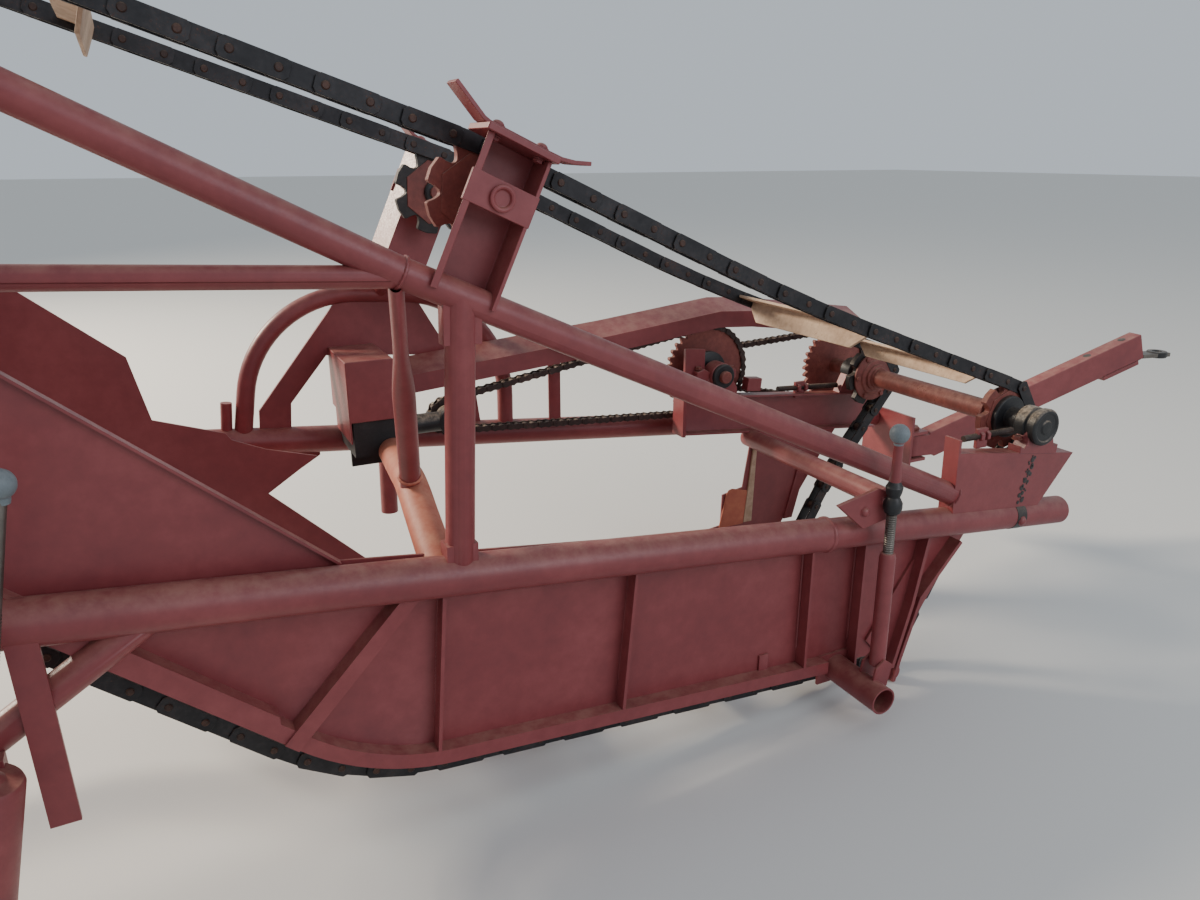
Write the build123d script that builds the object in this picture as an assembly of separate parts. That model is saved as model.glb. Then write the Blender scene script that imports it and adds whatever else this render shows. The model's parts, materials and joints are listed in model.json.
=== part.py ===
from build123d import *
from math import atan2, asin, cos, hypot, pi, radians, sin, tan
import os

# Trailed stone picker with a drag-chain elevator, in millimetres.
# X points forward to the hitch, Y to the machine's left, Z up. The model is drawn on stations
# counted from the foot of the elevator, and moved at the end so that the origin is on the ground
# under the middle of the box round the whole machine. It stands as it parks, nose down, on its two
# wheels and on the toes of the two front plates.

# Station of the row's origin, halfway between the hitch tongue's tip and the hopper's rear rim
ORIGIN_X = 365.3

# Conveyor chain and its loop
PITCH = 80.0
CHAIN_H = 44.0
CHAIN_T = 34.0
CHAIN_Y = 278.0
LINK_NOTCH = 8.0
TEETH = 7
SPROCKET_R = PITCH / (2.0 * sin(pi / TEETH))
SPROCKET_T = 22.0
TOOTH_ROOT = 14.0
TOOTH_DEPTH = 26.0
FRONT_X, FRONT_Z = 2223.0, 733.0
# Idlers, the left one set further out by its take-up
IDLERS = {-1: (612.0, 1391.0), 1: (697.0, 1375.0)}
HEAD_X, HEAD_Z = -2000.0, 2291.0
NOSE_X, NOSE_Z = 1815.0, 122.0
KNEE_X, KNEE_Z, KNEE_R = 516.0, 726.0, 600.0
# How far the worn chain hangs in from a straight line on the front and the top run
FRONT_SLACK, TOP_SLACK = 26.0, 28.0

# Flights between the two chains
FLIGHT_T = 8.0
FLIGHT_H = 50.0
FLIGHT_W = 62.0
FLIGHT_GAP = 6 * PITCH
FLIGHT_BITE = 8.0

# Shafts and bearings
SHAFT_D = 50.0
RIGHT_SHAFT_END_Y = -436.0
LEFT_SHAFT_END_Y = 496.0
HEAD_SHAFT_END_Y = 415.0
BEARING_R = 44.0
HUB_R = 52.0
HUB_FLANGE_R = 76.0
BEARING_FOOT_Z = 640.0

# Main tubes, the left one further out than the right one, to leave room for the drive
TUBE_D = 82.5
TUBE_WALL = 5.0
TUBE_TILT = 6.0
TUBE_REF_X, TUBE_REF_Z = 2318.0, 447.0
TUBE_FRONT_X = 2394.0
TUBE_REAR_X = -1280.0
LEFT_TUBE_D = 76.1
LEFT_TUBE_TILT = 5.6
LEFT_TUBE_Y = 530.0
LEFT_TUBE_REF_X, LEFT_TUBE_REF_Z = 1149.0, 618.0
LEFT_TUBE_FRONT_X = 2500.0

# Channel beam between the left wall and the drive
BEAM_T = 6.0
BEAM_D = 42.0
BEAM_H = 131.0
BEAM_UP = 78.0
BEAM_REAR_X = 1509.0
BEAM_FRONT_X = LEFT_TUBE_FRONT_X - 170.0

# Side plates of the trough and elevator
WALL_Y = 338.0
WALL_T = 6.0
WALL_LIFT = 56.0
WALL_TOP_X, WALL_TOP_Z = 276.0, 701.0
WALL_SLOPE = 0.883
WALL_MEET_X = -1400.0
LEFT_WALL_LOW_Z = 312.0
LIP_W = 16.0
LIP_T = 5.0
LIP_END_X = -1250.0
RIB_T = 8.0
RIB_W = 38.0
HULL_RAIL_H = 34.0
REAR_RAIL_H = 46.0

# Upper frame
RAIL_D = 60.3
BEND_X, BEND_Z = 426.0, 1263.0
RAIL_FRONT_X, RAIL_FRONT_Z = 1926.0, 570.0
RAIL_REAR_X, RAIL_REAR_Z = HEAD_X + 600.0, HEAD_Z - 77.0
LEFT_RAIL_PART = 0.705
LEVEL_D = 42.4
LEVEL_REAR_X, LEVEL_REAR_Z = -640.0, 1315.0
POST_D = 60.3
POST_TOP_X, POST_FOOT_X = 536.0, 508.0
STRUT_D = 42.4
HOOP_D = 48.3
SHEET_T = 10.0
CROSS_D = 76.1

# Idler posts
POST_W = 136.0
POST_DEPTH = 80.0
POST_T = 8.0
POST_H = 296.0
AXLE_UP = 197.0
POST_BAND_H = 60.0
SHOE_T = 6.0

# Drive: roller chain pitch, planes of the two chains, and teeth of the sprockets
DRIVE_PITCH = 25.4
DRIVE_Y = 434.0
SECOND_Y = 470.0
DRIVE_CHAIN_H = 21.0
DRIVE_CHAIN_W = 31.0
COG_T = 16.0
PINION_X, PINION_Z, PINION_TEETH = 740.0, 741.0, 11
COUNTER_X, COUNTER_Z, COUNTER_TEETH = 1641.0, 782.0, 36
SMALL_TEETH = 13
DRIVEN_TEETH = 32
COUNTER_Y0 = 300.0
GUARD_NEAR_Y, GUARD_FAR_Y = 417.0, 500.0
GUARD_RISE = 35.0
GUARD_T = 3.0
GUARD_SIDE = 50.0

# Gearbox and the box over it
GEAR_X0, GEAR_X1 = 440.0, 567.0
GEAR_Y0 = 300.0
GEAR_Z0, GEAR_Z1 = 790.0, 955.0
SHEET = 5.0

# Crank jacks and the short cross tube under the front one
JACK_X, JACK_Y, JACK_FOOT_X = 1612.0, -470.0, 1626.0
JACK_TOP_Z, JACK_FOOT_Z = 812.0, 160.0
JACK_D = 42.4
STUB_X, STUB_Z, STUB_END_Y = 1592.0, 96.0, -540.0
STUB_D = 76.1
STUB_BORE_R = 33.05
REAR_JACK_TOP = (-236.0, -470.0, 992.0)
REAR_JACK_NECK = (-345.0, -470.0, 490.0)
REAR_JACK_FOOT = (-425.0, -470.0, 140.0)
REAR_JACK_D = 120.0
KNOB_R = 25.0

# Wheels and axle
WHEEL_R = 380.0
TYRE_W = 264.0
RIM_R = 196.0
WHEEL_Y = 800.0
AXLE_X = -1950.0
AXLE_BAR = 80.0
SPINDLE_R = 30.0
FIT = 0.05
LUG_H = 14.0
LUGS = 16

# Chassis behind
CHASSIS_Y = 400.0
CHASSIS_W = 60.0
CHASSIS_H = 100.0
CHASSIS_Z = 840.0
CHASSIS_REAR_X = -2840.0
LEG = 60.0
LEG_TOP_Z = 1860.0
BRACE_D = 60.3
BRACE_TOP_X = -50.0
LOW_X, LOW_Z = -545.0, 380.0

# Hopper, tipped about its rear pins
HOP_W = 1200.0
HOP_T = 5.0
HOP_FLOOR_Z = 920.0
HOP_FRONT_X = -1540.0
HOP_FRONT_TOP_X, HOP_FRONT_TOP_Z = -1500.0, 1450.0
HOP_REAR_X = -2640.0
HOP_REAR_TOP_X, HOP_REAR_TOP_Z = -3000.0, 1500.0
HOP_RIM = 40.0
HOP_PIVOT_X, HOP_PIVOT_Z = -2800.0, 840.0
HOP_PIN_R = 15.0
SEAT_GAP = 0.3

# Tipping cylinder
RAM_FOOT_X, RAM_FOOT_Z = -1700.0, 620.0
RAM_EYE_X, RAM_EYE_Z = -2450.0, 866.0
RAM_R = 45.0
RAM_ROD_R = 22.0
RAM_PIN_R = 15.0

# Drawbar
DRAW_PIVOT_X, DRAW_PIVOT_Y, DRAW_PIVOT_Z = LEFT_TUBE_FRONT_X + 70.0, 384.0, 400.0
DRAW_TIP_X, DRAW_TIP_Y, DRAW_TIP_Z = 3575.0, 206.0, 728.0
DRAW_W, DRAW_H = 60.0, 104.0
DRAW_SOLE_L, DRAW_SOLE_T = 175.0, 22.0
DRAW_PIN_R = 16.0
DRAW_RELIEF_R = 64.0
TONGUE_L = 150.0
TONGUE_T = 16.0
HITCH_R = 17.0

os.makedirs("parts", exist_ok=True)
OUT = WALL_Y + WALL_T / 2
TUBE_Y = OUT + TUBE_D / 2
BEAM_Y0, BEAM_Y1 = OUT, OUT + BEAM_D
FAR = 2000.0
pieces = {}


def tube_z(x, side):
    """Height of a main tube's axis at station x, on the right (-1) or left (1) side."""
    if side < 0:
        return TUBE_REF_Z + (TUBE_REF_X - x) * tan(radians(TUBE_TILT))
    return LEFT_TUBE_REF_Z + (LEFT_TUBE_REF_X - x) * tan(radians(LEFT_TUBE_TILT))


def beam_z(x):
    """Height of the channel beam's middle line at station x."""
    return tube_z(x, 1) + BEAM_UP


def rod(p, q, d):
    """Round bar of diameter d from point p to point q."""
    a, b = Vector(*p), Vector(*q)
    return Plane(origin=a, z_dir=b - a) * Cylinder(d / 2, (b - a).length, align=(Align.CENTER, Align.CENTER, Align.MIN))


def pipe(p, q, d, wall):
    """Open round tube from p to q."""
    return rod(p, q, d) - rod(p, q, d - 2 * wall)


def bar(p, q, across, tall, up=(0, 0, 1)):
    """Square-edged bar from p to q, with its tall side nearest to up."""
    a, b = Vector(*p), Vector(*q)
    run = (b - a).normalized()
    side = Vector(*up).cross(run).normalized()
    return Plane(origin=a, x_dir=side, z_dir=run) * Box(across, tall, (b - a).length, align=(Align.CENTER, Align.CENTER, Align.MIN))


def outline(points):
    """Face in the XZ plane inside an outline of (x, z) points."""
    return Plane.XZ * make_face(Polyline(*points, close=True))


def slab(face, y0, y1):
    """Face in the XZ plane made a plate from y0 to y1."""
    lo, hi = min(y0, y1), max(y0, y1)
    return Pos(0, hi, 0) * extrude(face, hi - lo, dir=(0, -1, 0))


def plate(points, y0, y1):
    """Flat plate with an outline of (x, z) points, from y0 to y1."""
    return slab(outline(points), y0, y1)


def block(x0, x1, y0, y1, z0, z1):
    """Box between two corners."""
    return Pos((x0 + x1) / 2, (y0 + y1) / 2, (z0 + z1) / 2) * Box(abs(x1 - x0), abs(y1 - y0), abs(z1 - z0))


def disc(x, z, r, y0, y1):
    """Disc or shaft along Y."""
    return Pos(x, (y0 + y1) / 2, z) * Rot(90, 0, 0) * Cylinder(r, abs(y1 - y0))


def strip(line, width, y0, y1):
    """Bar of a given width along a line of (x, z) points, its left side on the line, from y0 to y1."""
    whole = None
    for (xa, za), (xb, zb) in zip(line, line[1:]):
        length = hypot(xb - xa, zb - za)
        nx, nz = -(zb - za) / length * width, (xb - xa) / length * width
        part = plate([(xa, za), (xb, zb), (xb + nx, zb + nz), (xa + nx, za + nz)], y0, y1)
        whole = part if whole is None else whole + part
    return whole


def belt_spans(rounds):
    """Straight spans of a belt round circles (x, z, r) that turns left: start, end, outward angle."""
    spans = []
    for i, (x1, z1, r1) in enumerate(rounds):
        x2, z2, r2 = rounds[(i + 1) % len(rounds)]
        heading = atan2(z2 - z1, x2 - x1)
        out = heading - pi / 2 - asin((r2 - r1) / hypot(x2 - x1, z2 - z1))
        spans.append(((x1 + r1 * cos(out), z1 + r1 * sin(out)), (x2 + r2 * cos(out), z2 + r2 * sin(out)), out))
    return spans


def turn_between(out, following, r):
    """Turn of a belt on a circle, negative where it bends round an outer circle of negative radius."""
    turn = (following - out) % (2 * pi)
    return turn if r > 0 else turn - 2 * pi


def slack(rounds, i, ease):
    """Outer circle that presses span i in by ease at its middle, as a hanging chain lies."""
    start, end, out = belt_spans(rounds)[i]
    r = hypot(end[0] - start[0], end[1] - start[1]) ** 2 / (16 * ease)
    return ((start[0] + end[0]) / 2 + (r - ease) * cos(out), (start[1] + end[1]) / 2 + (r - ease) * sin(out), -r)


def belt_face(rounds, grow=0.0):
    """Face inside a belt round circles, with every radius grown by grow."""
    rounds = [(x, z, r + grow) for x, z, r in rounds]
    spans = belt_spans(rounds)
    edges = []
    for i, (start, end, out) in enumerate(spans):
        x, z, r = rounds[(i + 1) % len(rounds)]
        following = spans[(i + 1) % len(rounds)]
        middle = out + turn_between(out, following[2], r) / 2
        edges.append(Line(start, end))
        edges.append(ThreePointArc(end, (x + r * cos(middle), z + r * sin(middle)), following[0]))
    return Plane.XZ * make_face(Curve() + edges)


def band(rounds, height, y, thick):
    """Band of a chain loop, centred on the plane y."""
    return slab(belt_face(rounds, height / 2) - belt_face(rounds, -height / 2), y - thick / 2, y + thick / 2)


def stretches(rounds):
    """Straights and bends of a belt in turn: length, start or centre, outward angle, and radius of a bend."""
    spans = belt_spans(rounds)
    parts = []
    for i, (start, end, out) in enumerate(spans):
        x, z, r = rounds[(i + 1) % len(rounds)]
        turn = turn_between(out, spans[(i + 1) % len(rounds)][2], r)
        parts.append((hypot(end[0] - start[0], end[1] - start[1]), start, out, None))
        parts.append((r * turn, (x, z), out, r))
    return parts


def belt_point(parts, s):
    """Point at distance s along the stretches of a belt: x, z, outward angle, and whether it is on a bend."""
    for length, (x, z), out, r in parts:
        if s < length:
            break
        s -= length
    if r is None:
        return x - sin(out) * s, z + cos(out) * s, out, False
    return x + r * cos(out + s / r), z + r * sin(out + s / r), out + s / r, True


def chain_joints(rounds, pitch):
    """Joints of a chain round circles, as points of the belt, an even number of them."""
    parts = stretches(rounds)
    total = sum(part[0] for part in parts)
    count = 2 * round(total / pitch / 2)
    return [belt_point(parts, n * total / count) for n in range(count)]


def link_chain(rounds, pitch, height, y, thick):
    """Chain loop with straight links, and a notch where two outer plates meet at every second joint."""
    outer, inner = [], []
    for n, (x, z, out, bent) in enumerate(chain_joints(rounds, pitch)):
        for side, line in ((1, outer), (-1, inner)):
            edge = side * height / 2
            if n % 2 == 0:
                for along, in_by in ((-LINK_NOTCH, 0), (0, LINK_NOTCH), (LINK_NOTCH, 0)):
                    up = edge - side * in_by
                    line.append((x + up * cos(out) - along * sin(out), z + up * sin(out) + along * cos(out)))
            elif bent:
                line.append((x + edge * cos(out), z + edge * sin(out)))
    return plate(outer, y - thick / 2, y + thick / 2) - plate(inner, y - thick, y + thick)


def toothed(x, z, r, teeth, depth, y, thick):
    """Sprocket with scalloped teeth: a disc with round gaps cut at its edge."""
    wheel = disc(x, z, r + depth, y - thick / 2, y + thick / 2)
    for i in range(teeth):
        a = 2 * pi * (i + 0.5) / teeth
        gap = r * sin(pi / teeth) * 0.62
        wheel -= disc(x + (r + gap * 0.55) * cos(a), z + (r + gap * 0.55) * sin(a), gap, y - thick, y + thick)
    return wheel


def pitch_radius(teeth):
    """Pitch radius of a roller chain sprocket."""
    return DRIVE_PITCH / (2 * sin(pi / teeth))


def cog(x, z, teeth, y):
    """Roller chain sprocket with a flat tip and a flat root on every tooth."""
    r = pitch_radius(teeth)
    root, tip = r - DRIVE_PITCH * 0.3, r + DRIVE_PITCH * 0.42
    points = []
    for i in range(teeth):
        for part, at in ((-0.34, root), (-0.12, tip), (0.12, tip), (0.34, root)):
            a = 2 * pi * (i + part) / teeth
            points.append((x + at * cos(a), z + at * sin(a)))
    return plate(points, y - COG_T / 2, y + COG_T / 2)


def save(node, shape):
    """Keep a finished piece under its node name."""
    pieces[node] = shape


def cut(node, *others):
    """Cope a piece round the pieces that it meets."""
    for other in others:
        pieces[node] = pieces[node] - pieces[other]


def largest(shape):
    """Biggest solid of a shape, without the slivers that coping leaves."""
    return sorted(shape.solids(), key=lambda s: s.volume)[-1]


def both(make):
    """Same piece made for the right (-1) and the left (1) side, as one node."""
    return make(-1) + make(1)


def taut_loop(idler_x, idler_z):
    """Loop of the conveyor chain as a taut belt, anticlockwise with X to the right and Z up."""
    return [
        (KNEE_X, KNEE_Z, KNEE_R),
        (NOSE_X, NOSE_Z, SPROCKET_R),
        (FRONT_X, FRONT_Z, SPROCKET_R),
        (idler_x, idler_z, SPROCKET_R),
        (HEAD_X, HEAD_Z, SPROCKET_R),
    ]


def slack_loop(idler_x, idler_z):
    """Loop of the conveyor chain as it hangs, slack on its front and top runs."""
    loop = taut_loop(idler_x, idler_z)
    return loop[:2] + [slack(loop, 1, FRONT_SLACK), loop[2], slack(loop, 2, TOP_SLACK)] + loop[3:]


MID_IDLER = ((IDLERS[-1][0] + IDLERS[1][0]) / 2, (IDLERS[-1][1] + IDLERS[1][1]) / 2)
LOOP = taut_loop(*MID_IDLER)
STRAND_SLOPE = (HEAD_Z - MID_IDLER[1]) / (MID_IDLER[0] - HEAD_X)
MEET_Z = WALL_TOP_Z + WALL_SLOPE * (WALL_TOP_X - WALL_MEET_X)
TAIL_X = HEAD_X - SPROCKET_R
TAIL_Z = MEET_Z + STRAND_SLOPE * (WALL_MEET_X - TAIL_X)
BELOW = -300.0

# Solids that other pieces are coped round
tube_solid = rod((TUBE_REAR_X, -TUBE_Y, tube_z(TUBE_REAR_X, -1)), (TUBE_FRONT_X, -TUBE_Y, tube_z(TUBE_FRONT_X, -1)), TUBE_D)
left_solid = rod((TUBE_REAR_X, LEFT_TUBE_Y, tube_z(TUBE_REAR_X, 1)), (LEFT_TUBE_FRONT_X, LEFT_TUBE_Y, tube_z(LEFT_TUBE_FRONT_X, 1)), LEFT_TUBE_D)
stub_solid = disc(STUB_X, STUB_Z, STUB_D / 2, -OUT, STUB_END_Y)

# Side plates. The right one hangs from the main tube, the left one is low in front.
# Outline corners above the loop's foot, (x, z)
RIGHT_KEEP = [(WALL_TOP_X, WALL_TOP_Z), (WALL_MEET_X, MEET_Z), (TAIL_X, TAIL_Z), (TAIL_X, BELOW), (FRONT_X, BELOW), (FRONT_X, tube_z(FRONT_X, -1))]
LEFT_FRONT = [(FRONT_X, beam_z(FRONT_X) - BEAM_H / 2 + 3), (1774.0, beam_z(1774.0) - BEAM_H / 2 + 3), (1746.0, 379.0), (1664.0, 364.0), (1661.0, 253.0), (1560.0, 240.0)]
LEFT_REAR = [(520.0, LEFT_WALL_LOW_Z + 10.0), (222.0, 620.0), (355.0, 705.0), (229.0, 742.0), (151.0, 778.0), (137.0, 798.0), (-22.0, 853.0)]
LEFT_KEEP = [(-55.0, 1012.0), (WALL_MEET_X, MEET_Z), (TAIL_X, TAIL_Z), (TAIL_X, BELOW), (FRONT_X, BELOW)] + LEFT_FRONT + LEFT_REAR
# Upright ribs: station at the tube, and lean in degrees
RIBS = [(477.0, 4.7), (938.0, 5.2), (1457.0, 0.0), (1638.0, 0.0)]
# Flat strip on the right wall, its pointed end below the rail
FLAT_STRIP = [(1327.0, 200.0), (1355.0, 200.0), (1355.0, 116.0), (1341.0, 95.0), (1327.0, 116.0)]
STRIP_T = 6.0
DIAGONAL = [(114.0, 330.0), (132.0, 300.0), (424.0, 606.0), (388.0, 614.0)]
REAR_PART = [(-1850.0, BELOW), (125.0, BELOW), (125.0, 420.0), (-1850.0, 2243.0)]
FRONT_PART = [(125.0, BELOW), (1540.0, BELOW), (1540.0, 330.0), (125.0, 420.0)]
STAND_OFFS = (90.0, -200.0)
head_hole = disc(HEAD_X, HEAD_Z, SHAFT_D / 2 + 8, -FAR, FAR)
low = belt_face(LOOP, -WALL_LIFT)


def side_plate(side):
    """Wall with the rail along its foot, a folded lip at its top, and on the right its ribs."""
    area = low & outline(RIGHT_KEEP if side < 0 else LEFT_KEEP)
    wall = slab(area, side * (WALL_Y - WALL_T / 2), side * OUT) - head_hole
    for part, height in ((REAR_PART, REAR_RAIL_H), (FRONT_PART, HULL_RAIL_H)):
        rail = (low - belt_face(LOOP, -WALL_LIFT - height)) & outline(part)
        wall += slab(rail, side * OUT, side * (OUT + RIB_W))
    if side > 0:
        for x in STAND_OFFS:
            z = tube_z(x, 1)
            wall += block(x, x + 10, OUT, LEFT_TUBE_Y, z - 32, z + 32)
        return wall - left_solid
    wall += strip([(WALL_TOP_X, WALL_TOP_Z), (LIP_END_X, WALL_TOP_Z + WALL_SLOPE * (WALL_TOP_X - LIP_END_X))], LIP_T, -OUT - LIP_W, -OUT)
    for x, lean in RIBS:
        top = tube_z(x, -1)
        back = FAR * tan(radians(lean))
        rib = low & outline([(x - RIB_T / 2, top), (x + RIB_T / 2, top), (x + RIB_T / 2 - back, top - FAR), (x - RIB_T / 2 - back, top - FAR)])
        wall += slab(rib, -OUT, -OUT - RIB_W)
    wall += plate(FLAT_STRIP, -OUT - STRIP_T, -OUT)
    wall += slab(low & outline(DIAGONAL), -OUT, -OUT - RIB_W - 6)
    return wall - tube_solid - stub_solid


save("side_plate_right", side_plate(-1))
save("side_plate_left", side_plate(1))

# Front shoes: folded leading edges of the walls, and the runner bars whose toes stand on the ground.
# Lines of the runner bar and the leading edge, (x, z)
RUNNER = [(1996.0, 412.0), (1862.0, 262.0), (1803.0, 70.0), (1790.0, 6.0)]
LEADING = [(1880.0, 455.0), (1842.0, 246.0), (1790.0, 52.0)]
BAR_T = 12.0
TOE_X, TOE_R = 1806.0, 24.0


def front_shoe(side):
    """Runner bar, leading edge and toe lug beside one front corner of the trough."""
    y0, y1 = side * OUT, side * (OUT + RIB_W)
    shoe = strip(RUNNER, BAR_T, y0, y1) + strip(LEADING, -BAR_T, y0, y1)
    shoe += plate([(1700, 150), (1790, 50), (1800, 64), (1845, 240), (1870, 400), (1820, 330)], y0, side * (OUT + 8))
    return shoe + disc(TOE_X, TOE_R, TOE_R, side * (OUT + 4), side * (OUT + 24)) - disc(TOE_X, TOE_R, 9, -FAR, FAR)


save("front_shoes", both(front_shoe) - tube_solid - stub_solid)

# Main tubes
save("main_tube_right", tube_solid - rod((TUBE_REAR_X - 1, -TUBE_Y, tube_z(TUBE_REAR_X - 1, -1)), (TUBE_FRONT_X + 1, -TUBE_Y, tube_z(TUBE_FRONT_X + 1, -1)), TUBE_D - 2 * TUBE_WALL))
save("main_tube_left", left_solid - rod((TUBE_REAR_X - 1, LEFT_TUBE_Y, tube_z(TUBE_REAR_X - 1, 1)), (LEFT_TUBE_FRONT_X + 1, LEFT_TUBE_Y, tube_z(LEFT_TUBE_FRONT_X + 1, 1)), LEFT_TUBE_D - 2 * TUBE_WALL))


# Channel beam beside the left wall, with its end plate and two spacers to the left tube
def beam_plate(z0, z1, y0, y1, x0=BEAM_REAR_X, x1=BEAM_FRONT_X):
    """Plate along the channel beam between two heights above its middle line."""
    a, b = beam_z(x0), beam_z(x1)
    return plate([(x0, a + z0), (x1, b + z0), (x1, b + z1), (x0, a + z1)], y0, y1)


half = BEAM_H / 2
PLATE_T = 12.0
SPACERS = (1935.0, 2245.0)
beam = beam_plate(-half, half, BEAM_Y1 - BEAM_T, BEAM_Y1)
beam += beam_plate(-half, -half + BEAM_T, BEAM_Y0, BEAM_Y1)
beam += beam_plate(half - BEAM_T, half, BEAM_Y0, BEAM_Y1)
beam += beam_plate(-half - 4, half + 4, BEAM_Y0 - 6, BEAM_Y1 + 16, BEAM_REAR_X - PLATE_T, BEAM_REAR_X)
beam += beam_plate(half, half + 150, TUBE_Y - 12, TUBE_Y, BEAM_REAR_X - PLATE_T + 25, BEAM_REAR_X + 87)
for x in SPACERS:
    z = tube_z(x, 1)
    beam += block(x, x + 30, BEAM_Y1 - BEAM_T, LEFT_TUBE_Y, z + 18, z + 58)
beam = beam - left_solid
save("channel_beam", beam)

# Bearing box on the right tube
BOX = [(1914, 697), (2386, 630), (2252, 470), (1922, 500)]
BOX_INSIDE = [(1924, 688), (2369, 625), (2244, 440), (1931, 440)]
BOX_END = [(1906, 735), (1914, 735), (1922, 500), (1914, 500)]
BOX_HALF = 26.0
bearing_box = plate(BOX, -TUBE_Y - BOX_HALF, -TUBE_Y + BOX_HALF)
bearing_box = bearing_box - plate(BOX_INSIDE, -TUBE_Y - BOX_HALF + 6, -TUBE_Y + BOX_HALF - 6)
bearing_box = bearing_box + plate(BOX_END, -TUBE_Y - BOX_HALF, -TUBE_Y + BOX_HALF) - tube_solid
save("bearing_box", bearing_box)

# Upper frames. On the left, a round hoop and an A-shaped sheet stand on the main tube.
HOOP = [(195.0, 735.0), (259.0, 1117.0), (968.0, 1067.0), (962.0, 660.0)]
HOOP_RADII = [300.0, 330.0]
A_SHEET = [(237, 730), (242, 794), (489, 1099), (690, 1091), (868, 771), (880, 670), (812, 670), (808, 756), (739, 905), (435, 932), (328, 806), (321, 730)]
GUSSET = [(246, 690), (392, 676), (392, 646), (233, 553)]
HOOP_LINK_X = 600.0
LUG_PIPE = [(153.0, 745.0), (161.0, 827.0)]


def hoop():
    """Round tube bent into a hoop over the left main tube."""
    path = FilletPolyline(*[(x, LEFT_TUBE_Y, z) for x, z in HOOP], radius=HOOP_RADII)
    return sweep(Plane(origin=path @ 0, z_dir=path % 0) * Circle(HOOP_D / 2), path=path)


def rail_z(x):
    """Height of the sloping front rail's axis at station x."""
    return BEND_Z + (RAIL_FRONT_Z - BEND_Z) * (x - BEND_X) / (RAIL_FRONT_X - BEND_X)


def upper_frame(side):
    """Bent rail with its feet, and the posts or the hoop that carry it."""
    y = side * TUBE_Y
    reach = 1.0 if side < 0 else LEFT_RAIL_PART
    end_x = BEND_X + (RAIL_FRONT_X - BEND_X) * reach
    frame = rod((RAIL_REAR_X, y, RAIL_REAR_Z), (BEND_X, y, BEND_Z), RAIL_D)
    frame += rod((BEND_X, y, BEND_Z), (end_x, y, rail_z(end_x)), RAIL_D)
    frame += Pos(BEND_X, y, BEND_Z) * Sphere(RAIL_D / 2)
    frame += block(RAIL_REAR_X - 10, RAIL_REAR_X + 60, side * OUT, side * (TUBE_Y + 20), RAIL_REAR_Z - 80, RAIL_REAR_Z + 10)
    if side > 0:
        for shape in (A_SHEET, GUSSET):
            frame += plate(shape, LEFT_TUBE_Y - SHEET_T / 2, LEFT_TUBE_Y + SHEET_T / 2)
        frame += hoop()
        frame += rod((HOOP_LINK_X, LEFT_TUBE_Y, 1100), (HOOP_LINK_X, y, rail_z(HOOP_LINK_X)), STRUT_D)
        (xa, za), (xb, zb) = LUG_PIPE
        frame += rod((xa, LEFT_TUBE_Y, za), (xb, LEFT_TUBE_Y, zb), 30)
        return frame - left_solid - beam
    frame += rod((LEVEL_REAR_X, y, LEVEL_REAR_Z), (BEND_X, y, BEND_Z - 8), LEVEL_D)
    frame += block(LEVEL_REAR_X - 10, LEVEL_REAR_X + 60, -OUT, -TUBE_Y - 10, LEVEL_REAR_Z - 30, LEVEL_REAR_Z + 20)
    foot_z = tube_z(POST_FOOT_X, -1)
    top_z = rail_z(POST_TOP_X)
    frame += rod((POST_FOOT_X, y, foot_z), (POST_TOP_X, y, top_z), POST_D)
    frame += bar((POST_TOP_X - 3, y, top_z - 90), (POST_TOP_X, y, top_z), 34, POST_D + 16)
    frame += bar((POST_FOOT_X, y, foot_z), (POST_FOOT_X + 2, y, foot_z + 75), 44, POST_D + 6)
    return frame - tube_solid - bearing_box


save("upper_frame_right", upper_frame(-1))
save("upper_frame_left", upper_frame(1))

# Arched cross tube with its flat-topped strut to the right rail, and the short stub under its far end
NEAR_END = (470.0, -TUBE_Y, tube_z(470, -1))
CROWN = (500.0, -60.0, 735.0)
FAR_END = (581.0, LEFT_TUBE_Y, tube_z(581, 1) - 4)
STRUT_FOOT = (490.0, -96.0, 735.0)
STRUT_TOP = (405.0, -TUBE_Y + 10, 1248.0)
FLAT_PART = 0.72
STUB_POST_D = 50.0
cross = rod(NEAR_END, CROWN, CROSS_D) + rod(CROWN, FAR_END, CROSS_D) + Pos(*CROWN) * Sphere(CROSS_D / 2)
cross += rod(STRUT_FOOT, STRUT_TOP, STRUT_D + 6)
flat_from = Vector(*STRUT_FOOT) + (Vector(*STRUT_TOP) - Vector(*STRUT_FOOT)) * FLAT_PART
cross += bar(tuple(flat_from), STRUT_TOP, 30, 66)
cross += rod((585, LEFT_TUBE_Y, tube_z(585, 1)), (579, LEFT_TUBE_Y, 435), STUB_POST_D)
cross = cross - tube_solid - left_solid - pieces["upper_frame_right"] - pieces["upper_frame_left"]
save("cross_tube", largest(cross))
cut("side_plate_right", "cross_tube")
cut("side_plate_left", "cross_tube")

# Front cross brace from a seat on the right tube to the underside of the channel beam
BRACE_NEAR_X, BRACE_NEAR_Z = 1682.0, 598.0
BRACE_FAR_X = 1785.0
brace_far_z = beam_z(BRACE_FAR_X) - BEAM_H / 2 - BRACE_D / 2 + 6
brace = rod((BRACE_NEAR_X, -TUBE_Y, BRACE_NEAR_Z), (BRACE_FAR_X, BEAM_Y0 + 30, brace_far_z), BRACE_D)
brace += block(BRACE_NEAR_X - 28, BRACE_NEAR_X + 28, -TUBE_Y - 8, -TUBE_Y + 20, tube_z(BRACE_NEAR_X, -1), BRACE_NEAR_Z)
brace = brace - tube_solid - beam - pieces["side_plate_left"]
save("front_brace", largest(brace))
cut("side_plate_right", "front_brace")

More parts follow.
